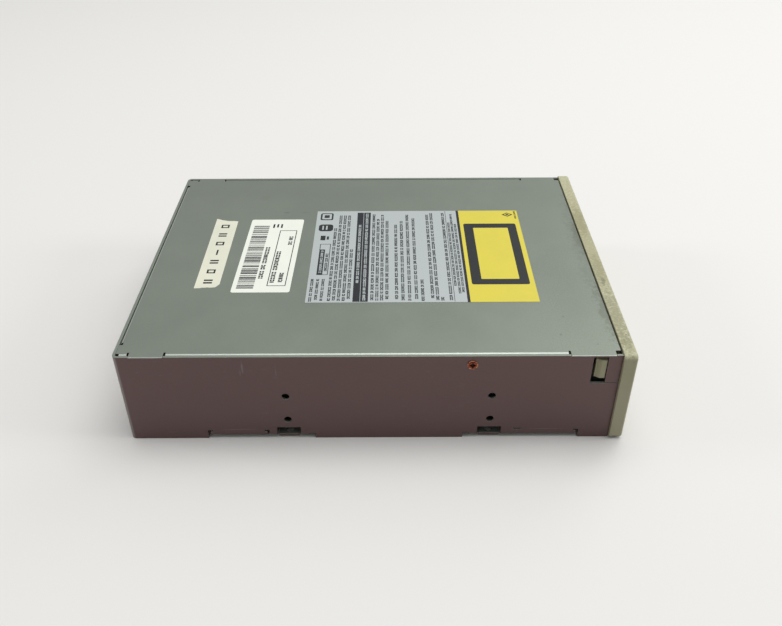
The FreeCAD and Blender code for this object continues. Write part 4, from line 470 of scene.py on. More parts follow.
def plated_sheet(name, ground, metallic, grains, angle, folds, marks=(), hair=0.03, drift=0.05, wear=0.8):
    """Zinc-plated sheet: satin grain, faint hair scratches, worn edges, a little dust, and folds, the
    function that tones its bends and rims with painted highlights, reflection and shade."""
    material, tree = new_finish(name)
    grain = use(tree, sheet_grain, Grains=grains)
    hairs = use(tree, fine_scratches, Angle=angle, Amount=hair)["Mask"]
    edge = use(tree, worn_edge, Reach=sizes().edge_reach, Amount=wear)["Mask"]
    dust = use(tree, settled_dust, Amount=0.08)["Mask"]
    base = drawn(ground)
    tone = toned(tree, grain["Tone"], 0.0, 1.0)
    shade = layered(tree, scaled(base, 1 - drift), (tone, scaled(base, 1 + drift)), (hairs, drawn("bright")),
                    (product(tree, edge, 0.7), drawn("bright")), (dust, opaque("b9b6aa")))
    shade = folds(tree, stained_and_shaded(tree, shade, marks))
    rough = maths(tree, "ADD", toned(tree, grain["Tone"], 0.38, 0.44), product(tree, dust, 0.5))
    rough = maths(tree, "SUBTRACT", rough, product(tree, hairs, 0.3))
    return finish(material, Base_Color=shade, Metallic=metallic, Roughness=rough,
                  Normal=bump(tree, grain["Height"], 0.012 * MM, 0.35, Normal=rounded(tree)))


def moulded(name, ground, rough, fineness, dust, depth=0.02, marks=(), aged=None):
    """Moulded plastic with an eroded skin, flow tone, rubbed edges and dust."""
    material, tree = new_finish(name)
    skin = use(tree, moulded_skin, Fineness=fineness)
    edge = use(tree, worn_edge, Reach=sizes().edge_reach, Amount=0.5)["Mask"]
    settled = use(tree, settled_dust, Amount=dust)["Mask"]
    base = drawn(ground)
    lighter = drawn(aged) if aged else scaled(base, 1.18)
    shade = layered(tree, base, (ramp(tree, skin["Tone"], 0.35, 0.7), lighter),
                    (product(tree, edge, 0.3), opaque("dcdbd2")), (settled, opaque("a9a294")))
    return finish(material, Base_Color=stained_and_shaded(tree, shade, marks),
                  Roughness=toned(tree, skin["Tone"], rough - 0.04, rough + 0.06),
                  Normal=bump(tree, skin["Height"], depth * MM, 0.5, Normal=rounded(tree)))


def bare_metal(name, ground, rough, grains, metallic=1.0, depth=0.008):
    """Bare or nickel-plated metal with a turned or drawn grain."""
    material, tree = new_finish(name)
    grain = use(tree, sheet_grain, Grains=grains, Mottle=80.0)
    base = drawn(ground)
    return finish(material, Base_Color=mix(tree, grain["Tone"], scaled(base, 0.72), base), Metallic=metallic,
                  Roughness=toned(tree, grain["Tone"], rough - 0.06, rough + 0.08),
                  Normal=bump(tree, grain["Height"], depth * MM, 0.4))


def rubber(name, ground):
    """Matt rubber with a dusty bloom."""
    material, tree = new_finish(name)
    skin = use(tree, moulded_skin, Fineness=3200.0)
    bloom = ramp(tree, skin["Tone"], 0.45, 0.75, 0.0, 0.35)
    return finish(material, Base_Color=mix(tree, bloom, drawn(ground), opaque("4a4846")),
                  Roughness=toned(tree, skin["Tone"], 0.62, 0.85),
                  Normal=bump(tree, skin["Height"], 0.015 * MM, 0.6))


def board_finish():
    """Solder mask over copper tracks, with tinned pads."""
    material, tree = new_finish("Circuit board")
    tracks = use(tree, board_tracks)
    pads = tracks["Pads"]
    dust = use(tree, settled_dust, Amount=0.2)["Mask"]
    shade = layered(tree, drawn("board"), (product(tree, tracks["Tracks"], 0.8), drawn("copper")),
                    (pads, drawn("solder")), (dust, opaque("8d8a80")))
    return finish(material, Base_Color=shade, Metallic=product(tree, pads, 0.9),
                  Roughness=ramp(tree, pads, 0.0, 1.0, 0.42, 0.3),
                  Normal=bump(tree, tracks["Height"], 0.03 * MM, 0.6), Coat_Weight=0.3)


def epoxy_with_legs(node, dot):
    """Moulded epoxy whose legs, past the body's sides, are tinned; a round dimple marks the first leg."""
    low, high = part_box(node)
    inset = Vector((LEG_REACH, LEG_REACH, -MM))
    material, tree = new_finish(node.replace("_", " ").capitalize())
    skin = use(tree, moulded_skin, Fineness=3600.0)
    body = use(tree, inside_box, Low=low + inset, High=high - inset)["Mask"]
    first = Vector((low.x + LEG_REACH + dot * MM, low.y + LEG_REACH + dot * MM, high.z))
    away = vector(tree, "LENGTH", vector(tree, "SUBTRACT", here(tree), first))
    dimple = ramp(tree, away, 0.45 * MM, 0.55 * MM, 1.0, 0.0)
    epoxy = layered(tree, drawn("chip"), (toned(tree, skin["Tone"], 0.0, 1.0), opaque("303134")),
                    (dimple, opaque("15161a")))
    height = maths(tree, "SUBTRACT", skin["Height"], product(tree, dimple, 4.0))
    return finish(material, Base_Color=mix(tree, body, drawn("solder"), epoxy),
                  Metallic=maths(tree, "SUBTRACT", 1.0, body),
                  Roughness=ramp(tree, body, 0.0, 1.0, 0.3, 0.55),
                  Normal=bump(tree, height, 0.02 * MM, 0.5))


def capacitor_finish():
    """Sleeved cans: a dark sleeve with a pale polarity stripe, and bare tops."""
    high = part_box("capacitors")[1]
    material, tree = new_finish("Capacitor cans")
    top = use(tree, inside_box, Low=(-FAR, -FAR, high.z - 0.25 * MM))["Mask"]
    stripe = use(tree, inside_box, Low=(high.x - 0.9 * MM, -FAR, -FAR),
                 High=(FAR, FAR, high.z - 0.5 * MM))["Mask"]
    grain = use(tree, sheet_grain, Grains=(1500, 1500, 300))
    shade = layered(tree, opaque("23252b"), (product(tree, grain["Tone"], 0.3), opaque("3a3d47")),
                    (stripe, opaque("b9bcc0")), (top, opaque("c4c6c8")))
    return finish(material, Base_Color=shade, Metallic=top, Roughness=toned(tree, grain["Tone"], 0.3, 0.42),
                  Normal=bump(tree, grain["Height"], 0.01 * MM, 0.4))


def ribbon_finish():
    """Flat cable: the ridges of its wires, painted shade in the grooves between them, and one edge wire
    marked.
    """
    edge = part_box("front_cable")[0].x
    material, tree = new_finish("Flat cable")
    across = split(tree, here(tree))["X"]
    wires = maths(tree, "DIVIDE", maths(tree, "SUBTRACT", across, edge), WIRE_PITCH)
    ridge = maths(tree, "PINGPONG", wires, 0.5)
    marked = ramp(tree, wires, 1.05, 0.95)
    cloud = noise(tree, here(tree), 90.0, 3.0)
    # The second layer is painted shade in the grooves between the wires
    shade = layered(tree, drawn("ribbon"), (product(tree, cloud, 0.3), opaque("8f9294")),
                    (ramp(tree, ridge, 0.0, 0.12, 0.45, 0.0), opaque("6c6f72")),
                    (product(tree, marked, 0.8), opaque("a33a36")))
    return finish(material, Base_Color=shade, Roughness=toned(tree, cloud, 0.38, 0.5),
                  Normal=bump(tree, ridge, 0.3 * MM, 0.7))


def light_pipe_finish():
    """Clear amber plastic of the busy light, frosted in its depth."""
    material, tree = new_finish("Light pipe")
    cloud = noise(tree, here(tree), 420.0, 3.0)
    return finish(material, Base_Color=mix(tree, cloud, opaque("d9a65a"), opaque("f0c98a")), IOR=1.49,
                  Roughness=toned(tree, cloud, 0.12, 0.25), Transmission_Weight=0.55,
                  Normal=bump(tree, cloud, 0.01 * MM, 0.4))


def lens_finish():
    """Coated objective lens."""
    material, tree = new_finish("Objective lens")
    rings = toned(tree, noise(tree, here(tree), 900.0, 1.0), 0.01, 0.05)
    return finish(material, Base_Color=drawn("lens"), IOR=1.58, Roughness=rings, Transmission_Weight=1.0,
                  Coat_Weight=1.0, Coat_Tint=opaque("8aa8ff"))


def label_ground(name, ground, rough, fibre, metallic=0.0):
    """The printed ground of a label: faint fibre or foil, finger marks and a little dirt."""
    material, tree = new_finish(name)
    point = here(tree)
    fine = noise(tree, point, 1700.0, 2.0, 0.6)
    broad = noise(tree, point, 60.0, 4.0, 0.6)
    base = drawn(ground)
    darker = scaled(base, 1 - fibre)
    shade = layered(tree, base, (ramp(tree, broad, 0.35, 0.7), darker),
                    (ramp(tree, fine, 0.55, 0.8, 0.0, 0.25), darker))
    return finish(material, Base_Color=shade, Metallic=metallic,
                  Roughness=toned(tree, broad, rough - 0.07, rough + 0.07),
                  Normal=bump(tree, fine, 0.01 * MM, 0.35))


def print_ink(name, ink):
    """Printing ink, thinner in places."""
    material, tree = new_finish(name)
    thin = ramp(tree, noise(tree, here(tree), 1300.0, 3.0), 0.5, 0.8, 0.0, 0.3)
    base = drawn(ink)
    faded = (*(part + 0.03 for part in base[:3]), 1.0)
    return finish(material, Base_Color=mix(tree, thin, base, faded),
                  Roughness=ramp(tree, thin, 0.0, 0.3, 0.4, 0.55))


def cover_screw_finish():
    """Copper-plated heads: painted shade where the driver goes in, and a painted highlight round the rim."""
    low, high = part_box("cover_screws")
    middle = (low + high) / 2
    reach = (high.z - low.z) / 2
    material, tree = new_finish("Copper plated screw")
    across = vector(tree, "MULTIPLY", vector(tree, "SUBTRACT", here(tree), middle), (0, 1, 1))
    away = vector(tree, "LENGTH", across)
    spots = noise(tree, here(tree), 1500.0, 2.0)
    # Painted shade in the driver's recess, and below it a painted highlight round the rim
    recess_shade = ramp(tree, away, reach * 0.62, reach * 0.3)
    rim_highlight = product(tree, ramp(tree, away, reach * 0.78, reach * 0.96), ramp(tree, spots, 0.4, 0.6))
    shade = layered(tree, drawn("screw_copper"), (ramp(tree, spots, 0.35, 0.65), opaque("96503a")),
                    (product(tree, recess_shade, 0.95), opaque("1c1210")),
                    (product(tree, rim_highlight, 0.7), opaque("e0b48a")))
    return finish(material, Base_Color=shade, Metallic=0.8, Roughness=toned(tree, spots, 0.3, 0.42),
                  Normal=bump(tree, spots, 0.02 * MM, 0.5))


def dress(material, *nodes):
    """Gives frame nodes a finish, by their own slots."""
    for name in nodes:
        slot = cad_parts[name].material_slots[0]
        slot.link = "OBJECT"
        slot.material = material


# Printed labels

class Label:
    """Flat prisms on one label, laid out in millimetres across (towards the near side) and down
    (towards the bezel) from the label's far rear corner, and turned slightly by a slope."""

    def __init__(self, node, seed, slope=0.0):
        low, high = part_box(node)
        self.node = node
        self.dice = random.Random(seed)
        self.corner = Vector((high.x, high.y, 0))
        self.base = low.z
        self.face = high.z
        self.slope = slope
        self.wide = (high.x - low.x) / MM
        self.long = (high.y - low.y) / MM
        self.points = []
        self.faces = []
        self.inks = []
        self.finishes = []

    def ink(self, finish):
        """The number of a finish on this label."""
        if finish not in self.finishes:
            self.finishes.append(finish)
        return self.finishes.index(finish)

    def at(self, across, down, height):
        """A place on the label as a point of the drive."""
        return (self.corner.x - across * MM, self.corner.y - (down - self.slope * across) * MM, height)

    def prism(self, outline, low, high, finish):
        """A closed flat prism over an outline of (across, down) points."""
        count = len(outline)
        area = sum(a * next_d - next_a * d
                   for (a, d), (next_a, next_d) in zip(outline, outline[1:] + outline[:1]))
        if area < 0:
            outline = outline[::-1]
        start = len(self.points)
        below = range(start, start + count)
        above = range(start + count, start + 2 * count)
        self.points += [self.at(a, d, low) for a, d in outline]
        self.points += [self.at(a, d, high) for a, d in outline]
        self.faces += [tuple(reversed(below)), tuple(above)]
        self.faces += [(below[i - 1], below[i], above[i], above[i - 1]) for i in range(count)]
        self.inks += [self.ink(finish)] * (count + 2)

    def ground(self, outline, finish):
        """The label itself, or a field of it."""
        self.prism(outline, self.base, self.face, finish)

    def shape(self, outline, finish, layer=1):
        """Print of one ink; a higher layer is printed over a lower one."""
        rise = sizes().ink_rise
        self.prism(outline, self.face + (layer - 1) * rise * 0.5, self.face + layer * rise, finish)

    def block(self, across, down, wide, tall, finish, layer=1):
        """A printed rectangle."""
        right, foot = across + wide, down + tall
        self.shape([(across, down), (right, down), (right, foot), (across, foot)], finish, layer)

    def frame(self, across, down, wide, tall, line, finish):
        """A printed rectangular ring."""
        for top in (down, down + tall - line):
            self.block(across, top, wide, line, finish)
        for left in (across, across + wide - line):
            self.block(left, down + line, line, tall - 2 * line, finish)

    def row(self, down, start, stop, tall, finish, layer=1, most=9):
        """A row of small blocks and pairs of short bars, gathered in groups."""
        across = start
        while across < stop - tall:
            for _ in range(self.dice.randint(2, most)):
                wide = tall * self.dice.uniform(*BLOCK_WIDE)
                if across + wide > stop:
                    break
                bars = self.dice.choice((1, 2, 2))
                height = tall * (BLOCK_TALL if bars == 1 else BAR_TALL)
                for bar in range(bars):
                    self.block(across, down + bar * (tall - height), wide, height, finish, layer)
                across += wide + tall * BLOCK_GAP
            across += tall * GROUP_GAP

    def torn(self, start, stop, steps, wander):
        """Points of a torn edge between two points of the label."""
        (a0, d0), (a1, d1) = start, stop
        inner = [(a0 + (a1 - a0) * i / steps + self.dice.uniform(-wander, wander), d0 + (d1 - d0) * i / steps)
                 for i in range(1, steps)]
        return [start, *inner, stop]

    def make(self, name):
        """Makes the label's piece, which takes the place of its bare node."""
        mesh = bpy.data.meshes.new(name)
        mesh.from_pydata(self.points, [], self.faces)
        for material in self.finishes:
            mesh.materials.append(material)
        mesh.polygons.foreach_set("material_index", self.inks)
        mesh.update()
        piece = bpy.data.objects.new(name, mesh)
        bpy.context.scene.collection.objects.link(piece)
        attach(piece, "root")
        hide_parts(self.node)


def rounded_outline(across, down, wide, tall, radius):
    """A rectangle on a label, with round corners in steps of 15 degrees."""
    corners = ((wide - radius, radius, -90), (wide - radius, tall - radius, 0),
               (radius, tall - radius, 90), (radius, radius, 180))
    outline = []
    for a, d, start in corners:
        for turn in range(start, start + 91, 15):
            angle = math.radians(turn)
            outline.append((across + a + radius * math.cos(angle), down + d + radius * math.sin(angle)))
    return outline


def tape_label():
    """Cream tape with torn ends, and a row of plain frames and pairs of bars."""
    label = Label("tape_label", 11)
    cream = label_ground("Cream tape", "tape", 0.55, 0.07)
    black = print_ink("Tape print", "ink")
    far = label.torn((1.0, 0.0), (3.0, 5.1), 5, 0.22) + label.torn((3.0, 5.1), (3.4, label.long), 5, 0.2)[1:]
    near = [(56.4, label.long)] + label.torn((58.7, label.long - 1.5), (59.4, 0.1), 8, 0.2)
    label.ground(far + near, cream)
    tall, wide, stroke, middle = 3.7, 3.0, 0.75, 5.1
    bar = stroke * 1.4
    top = middle - tall / 2
    for number, across in enumerate((8.2, 16.0, 23.6, 38.9, 46.6, 54.4)):
        left = across - wide / 2
        if number % 2:
            label.block(left, top, bar, tall, black)
            label.block(left + wide - bar, top, bar, tall, black)
        else:
            label.frame(left, top, wide, tall, stroke, black)
    label.block(29.0, middle - stroke / 2, 4.2, stroke, black)
    label.make("tape_print")


def white_label():
    """White label: uneven upright bars, rows of blocks, and a frame."""
    slope = 1.2 / 60.7
    label = Label("white_label", 23, slope)
    white = label_ground("White paper", "paper", 0.5, 0.05)
    black = print_ink("White label print", "ink")
    grey = print_ink("White label bars", "small_ink")
    tall = label.long - slope * label.wide
    label.corner.y -= slope * label.wide * MM
    label.ground(rounded_outline(0.0, 0.0, label.wide, tall, 1.1), white)
    across = 5.9
    while across < 57.0:
        wide = label.dice.choice((0.28, 0.28, 0.56, 0.84))
        label.block(across, 1.9, wide, 7.1, grey)
        across += wide + label.dice.choice((0.3, 0.3, 0.6, 0.9))
    label.row(9.9, 25.0, 50.7, 1.9, black, most=14)
    for down, wide in ((10.6, 3.4), (12.4, 3.0), (14.2, 3.4)):
        label.block(4.4, down, wide, 0.8, black)
    label.frame(10.2, 14.3, 45.8, 7.9, 0.35, black)
    label.row(15.2, 28.6, 54.6, 1.9, black, most=14)
    label.row(18.6, 46.0, 54.3, 1.9, black)
    label.row(19.3, 15.7, 23.6, 1.8, black)
    label.make("white_print")


# The rating label's small rows: the middle of each one down the label, and its start across
RATING_ROWS = (
    (9.45, 16.3), (11.45, 4.3), (13.45, 4.3), (15.45, 4.3), (17.45, 35.0),
    (27.05, 3.3), (29.05, 7.8), (31.05, 3.8), (33.2, 9.6),
    (37.2, 13.3), (39.8, 9.8), (42.55, 3.8), (45.35, 7.3), (47.95, 59.5),
    (51.95, 3.8), (53.95, 2.3), (55.95, 72.5), (59.45, 2.3),
)


def rating_label():
    """Silver and yellow label: small rows, plain badges, a dark band, and a framed window."""
    label = Label("rating_label", 37)
    silver = label_ground("Silver foil", "silver", 0.42, 0.08, 0.25)
    yellow = label_ground("Yellow field", "yellow", 0.45, 0.06)
    dark = print_ink("Dark band", "band")
    black = print_ink("Rating label print", "ink")
    small = print_ink("Rating label small print", "small_ink")
    wide = label.wide
    stop = wide - 0.7
    silver_end = 67.1
    label.ground([(0, 0), (wide, 0), (wide, silver_end), (0, silver_end)], silver)
    label.ground([(0, silver_end), (wide, silver_end), (wide, label.long), (0, label.long)], yellow)
    for middle, start in RATING_ROWS:
        label.row(middle - 0.65, start, stop, 1.3, small)
    for down in (1.2, 3.5, 5.8):
        label.row(down, 58.8, stop, 1.2, small)

    # Plain badges and a framed field
    label.shape(rounded_outline(2.0, 1.8, 6.6, 6.0, 1.0), small)
    label.shape(rounded_outline(2.8, 2.6, 5.0, 4.4, 0.5), silver, 2)
    label.block(4.0, 3.6, 2.6, 2.4, small, 3)
    label.shape(rounded_outline(12.7, 1.6, 6.2, 6.6, 1.6), black)
    for down in (3.2, 4.9):
        label.block(14.0, down, 3.6, 0.7, silver, 2)
    label.block(23.0, 3.0, 4.0, 2.2, black)
    label.block(23.6, 5.8, 2.8, 1.0, small)
    label.frame(30.3, 3.2, 25.3, 4.8, 0.3, black)
    label.block(35.0, 3.5, 20.3, 2.2, small)
    label.row(4.0, 36.0, 54.6, 1.1, silver, 2)
    label.row(6.2, 38.5, 54.6, 1.2, small)

    # The dark band, with two rows in silver
    label.block(1.55, 19.2, 74.0, 6.25, dark)
    label.block(1.55, 22.1, 74.0, 0.2, silver, 2)
    label.row(20.1, 13.3, 62.3, 1.2, silver, 2)
    label.row(23.2, 2.6, 74.9, 1.2, silver, 2)

    # The foot of the silver field
    label.block(0.4, 60.7, wide - 0.8, 0.2, small)
    for down, start, end in ((61.3, 11.3, 65.3), (62.8, 3.3, 70.3), (64.3, 12.8, 70.3)):
        label.row(down, start, end, 1.0, small)
    label.block(0.0, 65.95, wide, 1.15, black)

    # The yellow field: a framed window, a hollow diamond and one short row
    label.shape(rounded_outline(12.5, 68.7, 50.8, 24.3, 1.0), black)
    label.shape(rounded_outline(16.5, 73.0, 42.8, 16.0, 0.4), yellow, 2)
    label.shape([(4.0, 87.6), (5.9, 90.2), (4.0, 92.8), (2.1, 90.2)], black)
    label.shape([(4.0, 88.6), (5.2, 90.2), (4.0, 91.8), (2.8, 90.2)], yellow, 2)
    label.block(3.5, 89.6, 1.0, 1.2, black, 3)
    label.row(93.4, 0.7, 8.4, 0.8, black)
    label.make("rating_print")


# Studio

# Each lamp's place, aim and width in metres, and its power in watts
LAMPS = {
    "overhead": ((0.15, -0.25, 1.5), (0.0, 0.0, 0.0), 1.3, 15.5),
    "far_front": ((1.1, -0.9, 0.9), (0.0, -0.05, 0.04), 0.8, 4.0),
    "front_fill": ((-0.1, -2.0, 1.0), (0.0, -0.1, 0.02), 0.6, 9.0),
    "rear_fill": ((0.2, 2.0, 1.0), (0.0, 0.1, 0.02), 0.6, 6.0),
}
SKY_STRENGTH = 0.36

# The camera, fitted to the photograph: place in metres, three directions, and lens in millimetres
CAMERA_PLACE = Vector((-0.30832, -0.00606, 0.23157))
CAMERA_RIGHT = Vector((-0.00275, -0.99999, -0.00337))
CAMERA_UP = Vector((0.58632, -0.00434, 0.81007))
CAMERA_AHEAD = Vector((0.81007, -0.00025, -0.58633))
CAMERA_LENS = 37.62


def lay_floor(scene):
    """A pale floor that throws less light back on the drive than it shows to the eye and in mirrors."""
    reach = sizes().floor_reach
    mesh = bpy.data.meshes.new("floor")
    mesh.from_pydata([(-reach, -reach, 0), (reach, -reach, 0), (reach, reach, 0), (-reach, reach, 0)],
                     [], [(0, 1, 2, 3)])
    floor = bpy.data.objects.new("floor", mesh)
    scene.collection.objects.link(floor)
    material, tree = new_finish("Studio floor")
    paper = noise(tree, here(tree), 900.0, 2.0)
    rays = put(tree, "LightPath").outputs
    seen = maths(tree, "MAXIMUM", rays["Is Camera Ray"], rays["Is Transmission Ray"])
    seen = maths(tree, "MAXIMUM", seen, rays["Is Glossy Ray"])
    finish(material, Base_Color=mix(tree, seen, drawn("bounce"), drawn("floor")),
           Roughness=toned(tree, paper, 0.75, 0.9))
    mesh.materials.append(material)


def hang_lamps(scene):
    """An even sky and soft square lamps."""
    world = bpy.data.worlds.new("studio")
    scene.world = world
    world.use_nodes = True
    tree = world.node_tree
    feed(tree, tree.nodes["Background"], {"Color": opaque("ffffff"), "Strength": SKY_STRENGTH})
    for name, (place, aim, wide, power) in LAMPS.items():
        light = bpy.data.lights.new(name, "AREA")
        light.shape = "SQUARE"
        light.size = wide
        light.energy = power
        lamp = bpy.data.objects.new(name, light)
        lamp.location = place
        lamp.rotation_euler = (Vector(aim) - Vector(place)).to_track_quat("-Z", "Y").to_euler()
        scene.collection.objects.link(lamp)


def set_camera(scene):
    """The camera at the photograph's angle."""
    data = bpy.data.cameras.new("camera")
    data.lens = CAMERA_LENS
    data.sensor_width = 36.0
    data.clip_start = 0.01
    camera = bpy.data.objects.new("camera", data)
    turn = Matrix((CAMERA_RIGHT, CAMERA_UP, -CAMERA_AHEAD)).transposed().to_4x4()
    camera.matrix_world = Matrix.Translation(CAMERA_PLACE) @ turn
    scene.collection.objects.link(camera)
    scene.camera = camera


# Operators

class DriveOperator:
    """What all of the drive's operators share."""
    bl_options = {"REGISTER", "UNDO"}


class DRIVE_OT_stage(DriveOperator, bpy.types.Operator):
    """Makes the studio: floor, soft light and the camera at the photograph's angle"""
    bl_idname = "drive.stage"
    bl_label = "Studio"

    def execute(self, context):
        scene = context.scene
        scene.view_settings.view_transform = "Standard"
        lay_floor(scene)
        hang_lamps(scene)
        set_camera(scene)
        return {"FINISHED"}


class DRIVE_OT_case(DriveOperator, bpy.types.Operator):
    """Finishes the folded case, its bottom plate and the clamp bridge"""
    bl_idname = "drive.case"
    bl_label = "Case and plates"

    def execute(self, context):
        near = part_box("case")[0].x / MM
        bright = drawn("bright")
        # Scratches and the faint lines of two folds: middle and reach along Y and Z, then cover and speckle
        rubs = [((near, y, z), (2.0, long, tall), bright, *rest) for y, z, long, tall, *rest in (
            (49.6, 36.0, 0.5, 4.0, 0.12),
            (50.6, 33.5, 0.4, 2.4, 0.08),
            (37.2, 34.0, 0.4, 3.4, 0.06),
            (54.0, 4.7, 9.8, 0.3, 0.12, 0.3, 320.0),
            (-67.0, 4.5, 9.4, 0.3, 0.12, 0.3, 320.0))]
        # The case's ground is the side colour, a painted reflection and shade; its inside and level faces get
        # the cover's zinc colour
        side = plated_sheet("Plated case sheet", "side", 0.45, (2600, 900, 2600), 1.4, case_folds, rubs,
                            wear=0.35)
        dress(side, "case")
        plate = plated_sheet("Plated plate sheet", "cover", 0.55, (900, 2400, 2400), 0.3, case_folds)
        dress(plate, "bottom_plate", "clamp_bridge")
        return {"FINISHED"}


class DRIVE_OT_cover(DriveOperator, bpy.types.Operator):
    """Finishes the top cover, with its smudges and darker patches along the bezel"""
    bl_idname = "drive.cover"
    bl_label = "Top cover"

    def execute(self, context):
        grime = drawn("grime")
        grey = opaque("6d736b")
        dark_olive = opaque("565845")
        spots = [
            (36.7, 43.6, 0.9, 2.6, grey, 0.45),
            (36.9, 35.5, 0.7, 2.8, grey, 0.25),
            (52.0, 54.9, 4.0, 3.2, grime, 0.08),
            (-60.0, -71.0, 0.9, 0.7, grey, 0.5),
            # Darker olive patches along the front edge, by the bezel
            (4.0, -91.9, 56.0, 7.0, dark_olive, 0.16, 1.8, 500.0),
            (12.0, -91.9, 19.0, 3.6, dark_olive, 0.3, 2.2, 500.0),
            (-44.0, -91.9, 25.0, 4.0, dark_olive, 0.34, 2.2, 500.0),
            (-42.0, -82.0, 46.0, 16.0, dark_olive, 0.12, 7.0, 1500.0),
            (-48.4, -74.0, 0.7, 0.6, grey, 0.5),
            (-66.0, -84.0, 0.6, 0.6, grey, 0.5),
        ]
        marks = flat_marks(spots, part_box("top_cover")[1].z / MM, 3.0)
        dress(plated_sheet("Plated cover sheet", "cover", 0.55, (2400, 800, 2400), 1.3, cover_folds, marks,
                           hair=0.04, drift=0.03), "top_cover")
        return {"FINISHED"}


class DRIVE_OT_bezel(DriveOperator, bpy.types.Operator):
    """Finishes the bezel, the tray's front and the controls"""
    bl_idname = "drive.bezel"
    bl_label = "Bezel and controls"

    def execute(self, context):
        grime = drawn("grime")
        low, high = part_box("bezel")
        top = high.z / MM
        middle = (low.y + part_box("top_cover")[0].y) / 2 / MM
        spots = [
            (0.0, middle, 90.0, 7.0, grime, 0.3, 5.5, 1100.0),
            (27.0, middle, 16.0, 4.0, grime, 0.34, 3.4, 700.0),
            (-16.0, middle, 15.0, 3.6, grime, 0.3, 3.4, 700.0),
            (-24.0, middle, 3.2, 1.3, opaque("4a4430"), 0.4, 2.2, 700.0),
            (-50.0, middle, 22.0, 4.2, grime, 0.42, 3.4, 700.0),
            (-66.0, middle, 9.0, 3.4, grime, 0.34, 3.4, 900.0),
            (-61.0, middle - 1.0, 0.7, 0.5, opaque("4a3420"), 0.6),
        ]
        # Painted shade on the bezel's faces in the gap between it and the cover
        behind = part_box("case")[0].y / MM + 0.1
        gap = ((0.0, behind, top - 3.6), (400.0, 0.06, 9.0), drawn("gap"), 1.0, 0.0, 320.0)
        marks = [*flat_marks(spots, top, 2.5), gap]
        dress(moulded("Bezel plastic", "bezel", 0.5, 1900.0, 0.1, 0.03, marks, "aged"), "bezel", "tray_front")
        dress(moulded("Button plastic", "button", 0.42, 2600.0, 0.1), "eject_button")
        dress(moulded("Volume wheel plastic", "chip", 0.5, 3000.0, 0.2), "volume_wheel", "volume_control",
              "eject_switch", "limit_switch", "jumper_cap")
        dress(light_pipe_finish(), "busy_light")
        return {"FINISHED"}


class DRIVE_OT_labels(DriveOperator, bpy.types.Operator):
    """Makes the three printed labels on the cover"""
    bl_idname = "drive.labels"
    bl_label = "Labels"

    def execute(self, context):
        tape_label()
        white_label()
        rating_label()
        return {"FINISHED"}


class DRIVE_OT_boards(DriveOperator, bpy.types.Operator):
    """Finishes the circuit boards and what is soldered to them"""
    bl_idname = "drive.boards"
    bl_label = "Boards and connectors"

    def execute(self, context):
        dress(board_finish(), "main_board", "front_board")
        for node, dot in (("servo_chip", 1.6), ("decoder_chip", 1.6), ("memory_chip", 1.4)):
            dress(epoxy_with_legs(node, dot), node)
        dress(capacitor_finish(), "capacitors")
        dress(moulded("Black connector plastic", "port_black", 0.4, 2600.0, 0.15),
              "phone_jack", "data_header", "jumper_block")
        dress(moulded("White connector plastic", "port_white", 0.4, 2600.0, 0.15),
              "power_socket", "audio_socket")
        dress(bare_metal("Tinned pins", "solder", 0.28, (900, 300, 900)), "data_pins", "power_pins")
        dress(ribbon_finish(), "front_cable")
        return {"FINISHED"}


class DRIVE_OT_loader(DriveOperator, bpy.types.Operator):
    """Finishes the tray, the loader frame and the loading gears"""
    bl_idname = "drive.loader"
    bl_label = "Loading mechanism"

    def execute(self, context):
        dress(moulded("Tray plastic", "tray", 0.5, 2200.0, 0.03), "tray")
        dress(moulded("Frame plastic", "loader", 0.55, 1700.0, 0.08), "loader_frame", "traverse_base",
              "turntable", "clamper", "lens_holder")
        dress(moulded("Gear acetal", "gear", 0.38, 3200.0, 0.12), "drive_gear", "pulley_gear", "motor_pulley",
              "cam_slider", "sled_gear", "sled_pinion")
        dress(rubber("Black rubber", "rubber"), "drive_belt", "pivot_bushes", "turntable_mat")
        return {"FINISHED"}


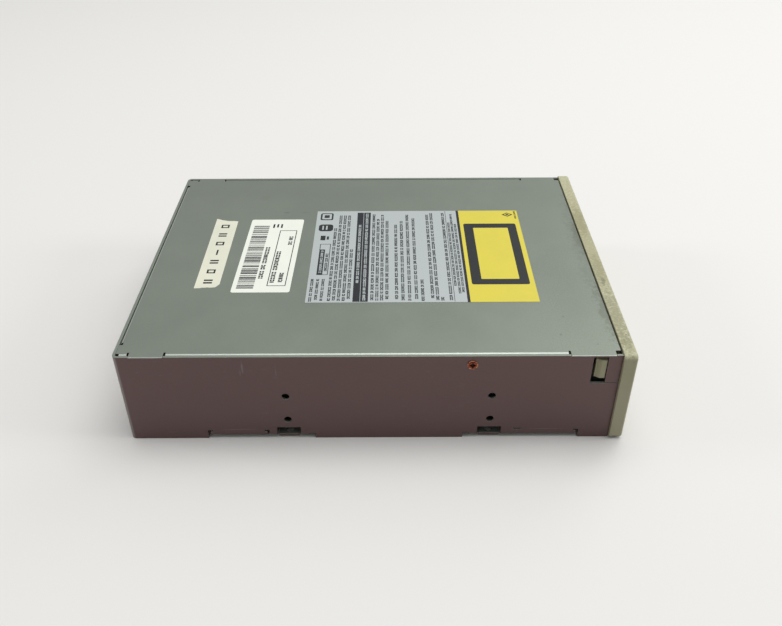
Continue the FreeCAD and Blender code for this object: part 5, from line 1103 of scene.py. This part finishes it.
class DRIVE_OT_traverse(DriveOperator, bpy.types.Operator):
    """Finishes the motors, the shafts and the pickup"""
    bl_idname = "drive.traverse"
    bl_label = "Motors and pickup"

    def execute(self, context):
        dress(bare_metal("Motor steel", "motor", 0.32, (900, 900, 250)), "loading_motor", "spindle_motor",
              "sled_motor", "pickup_cover")
        dress(bare_metal("Ground steel", "shaft", 0.16, (1500, 120, 1500)), "guide_shafts")
        dress(bare_metal("Cast alloy", "alloy", 0.48, (700, 700, 700), 0.9, 0.04), "pickup_body")
        dress(bare_metal("Magnet nickel", "shaft", 0.24, (500, 500, 500)), "clamp_magnet")
        dress(lens_finish(), "objective_lens")
        return {"FINISHED"}


class DRIVE_OT_screws(DriveOperator, bpy.types.Operator):
    """Finishes the screws"""
    bl_idname = "drive.screws"
    bl_label = "Screws"

    def execute(self, context):
        dress(cover_screw_finish(), "cover_screws")
        dress(bare_metal("Zinc plated screw", "motor", 0.36, (900, 900, 900), 0.9, 0.02),
              "board_screws", "bottom_screws", "bridge_screws")
        return {"FINISHED"}


BUILD_ORDER = ("stage", "case", "cover", "bezel", "labels", "boards", "loader", "traverse", "screws")


class DRIVE_PT_panel(bpy.types.Panel):
    """Lists the drive's operators and its settings"""
    bl_idname = "DRIVE_PT_panel"
    bl_label = "Disc Drive"
    bl_space_type = "VIEW_3D"
    bl_region_type = "UI"
    bl_category = "Disc Drive"

    def draw(self, context):
        for step in BUILD_ORDER:
            self.layout.operator("drive." + step)
        for group in (context.scene.drive_sizes, context.scene.drive_colours):
            column = self.layout.column(align=True)
            for name in group.__annotations__:
                column.prop(group, name)


CLASSES = (
    DriveColours, DriveSizes, DRIVE_OT_stage, DRIVE_OT_case, DRIVE_OT_cover, DRIVE_OT_bezel, DRIVE_OT_labels,
    DRIVE_OT_boards, DRIVE_OT_loader, DRIVE_OT_traverse, DRIVE_OT_screws, DRIVE_PT_panel,
)


def register():
    """Registers the classes, and gives the scene the drive's settings."""
    for each in CLASSES:
        bpy.utils.register_class(each)
    bpy.types.Scene.drive_colours = PointerProperty(type=DriveColours)
    bpy.types.Scene.drive_sizes = PointerProperty(type=DriveSizes)


def unregister():
    del bpy.types.Scene.drive_sizes
    del bpy.types.Scene.drive_colours
    for each in reversed(CLASSES):
        bpy.utils.unregister_class(each)


def main():
    """Makes every piece in order."""
    register()
    for step in BUILD_ORDER:
        getattr(bpy.ops.drive, step)()


if __name__ == "__main__":
    main()
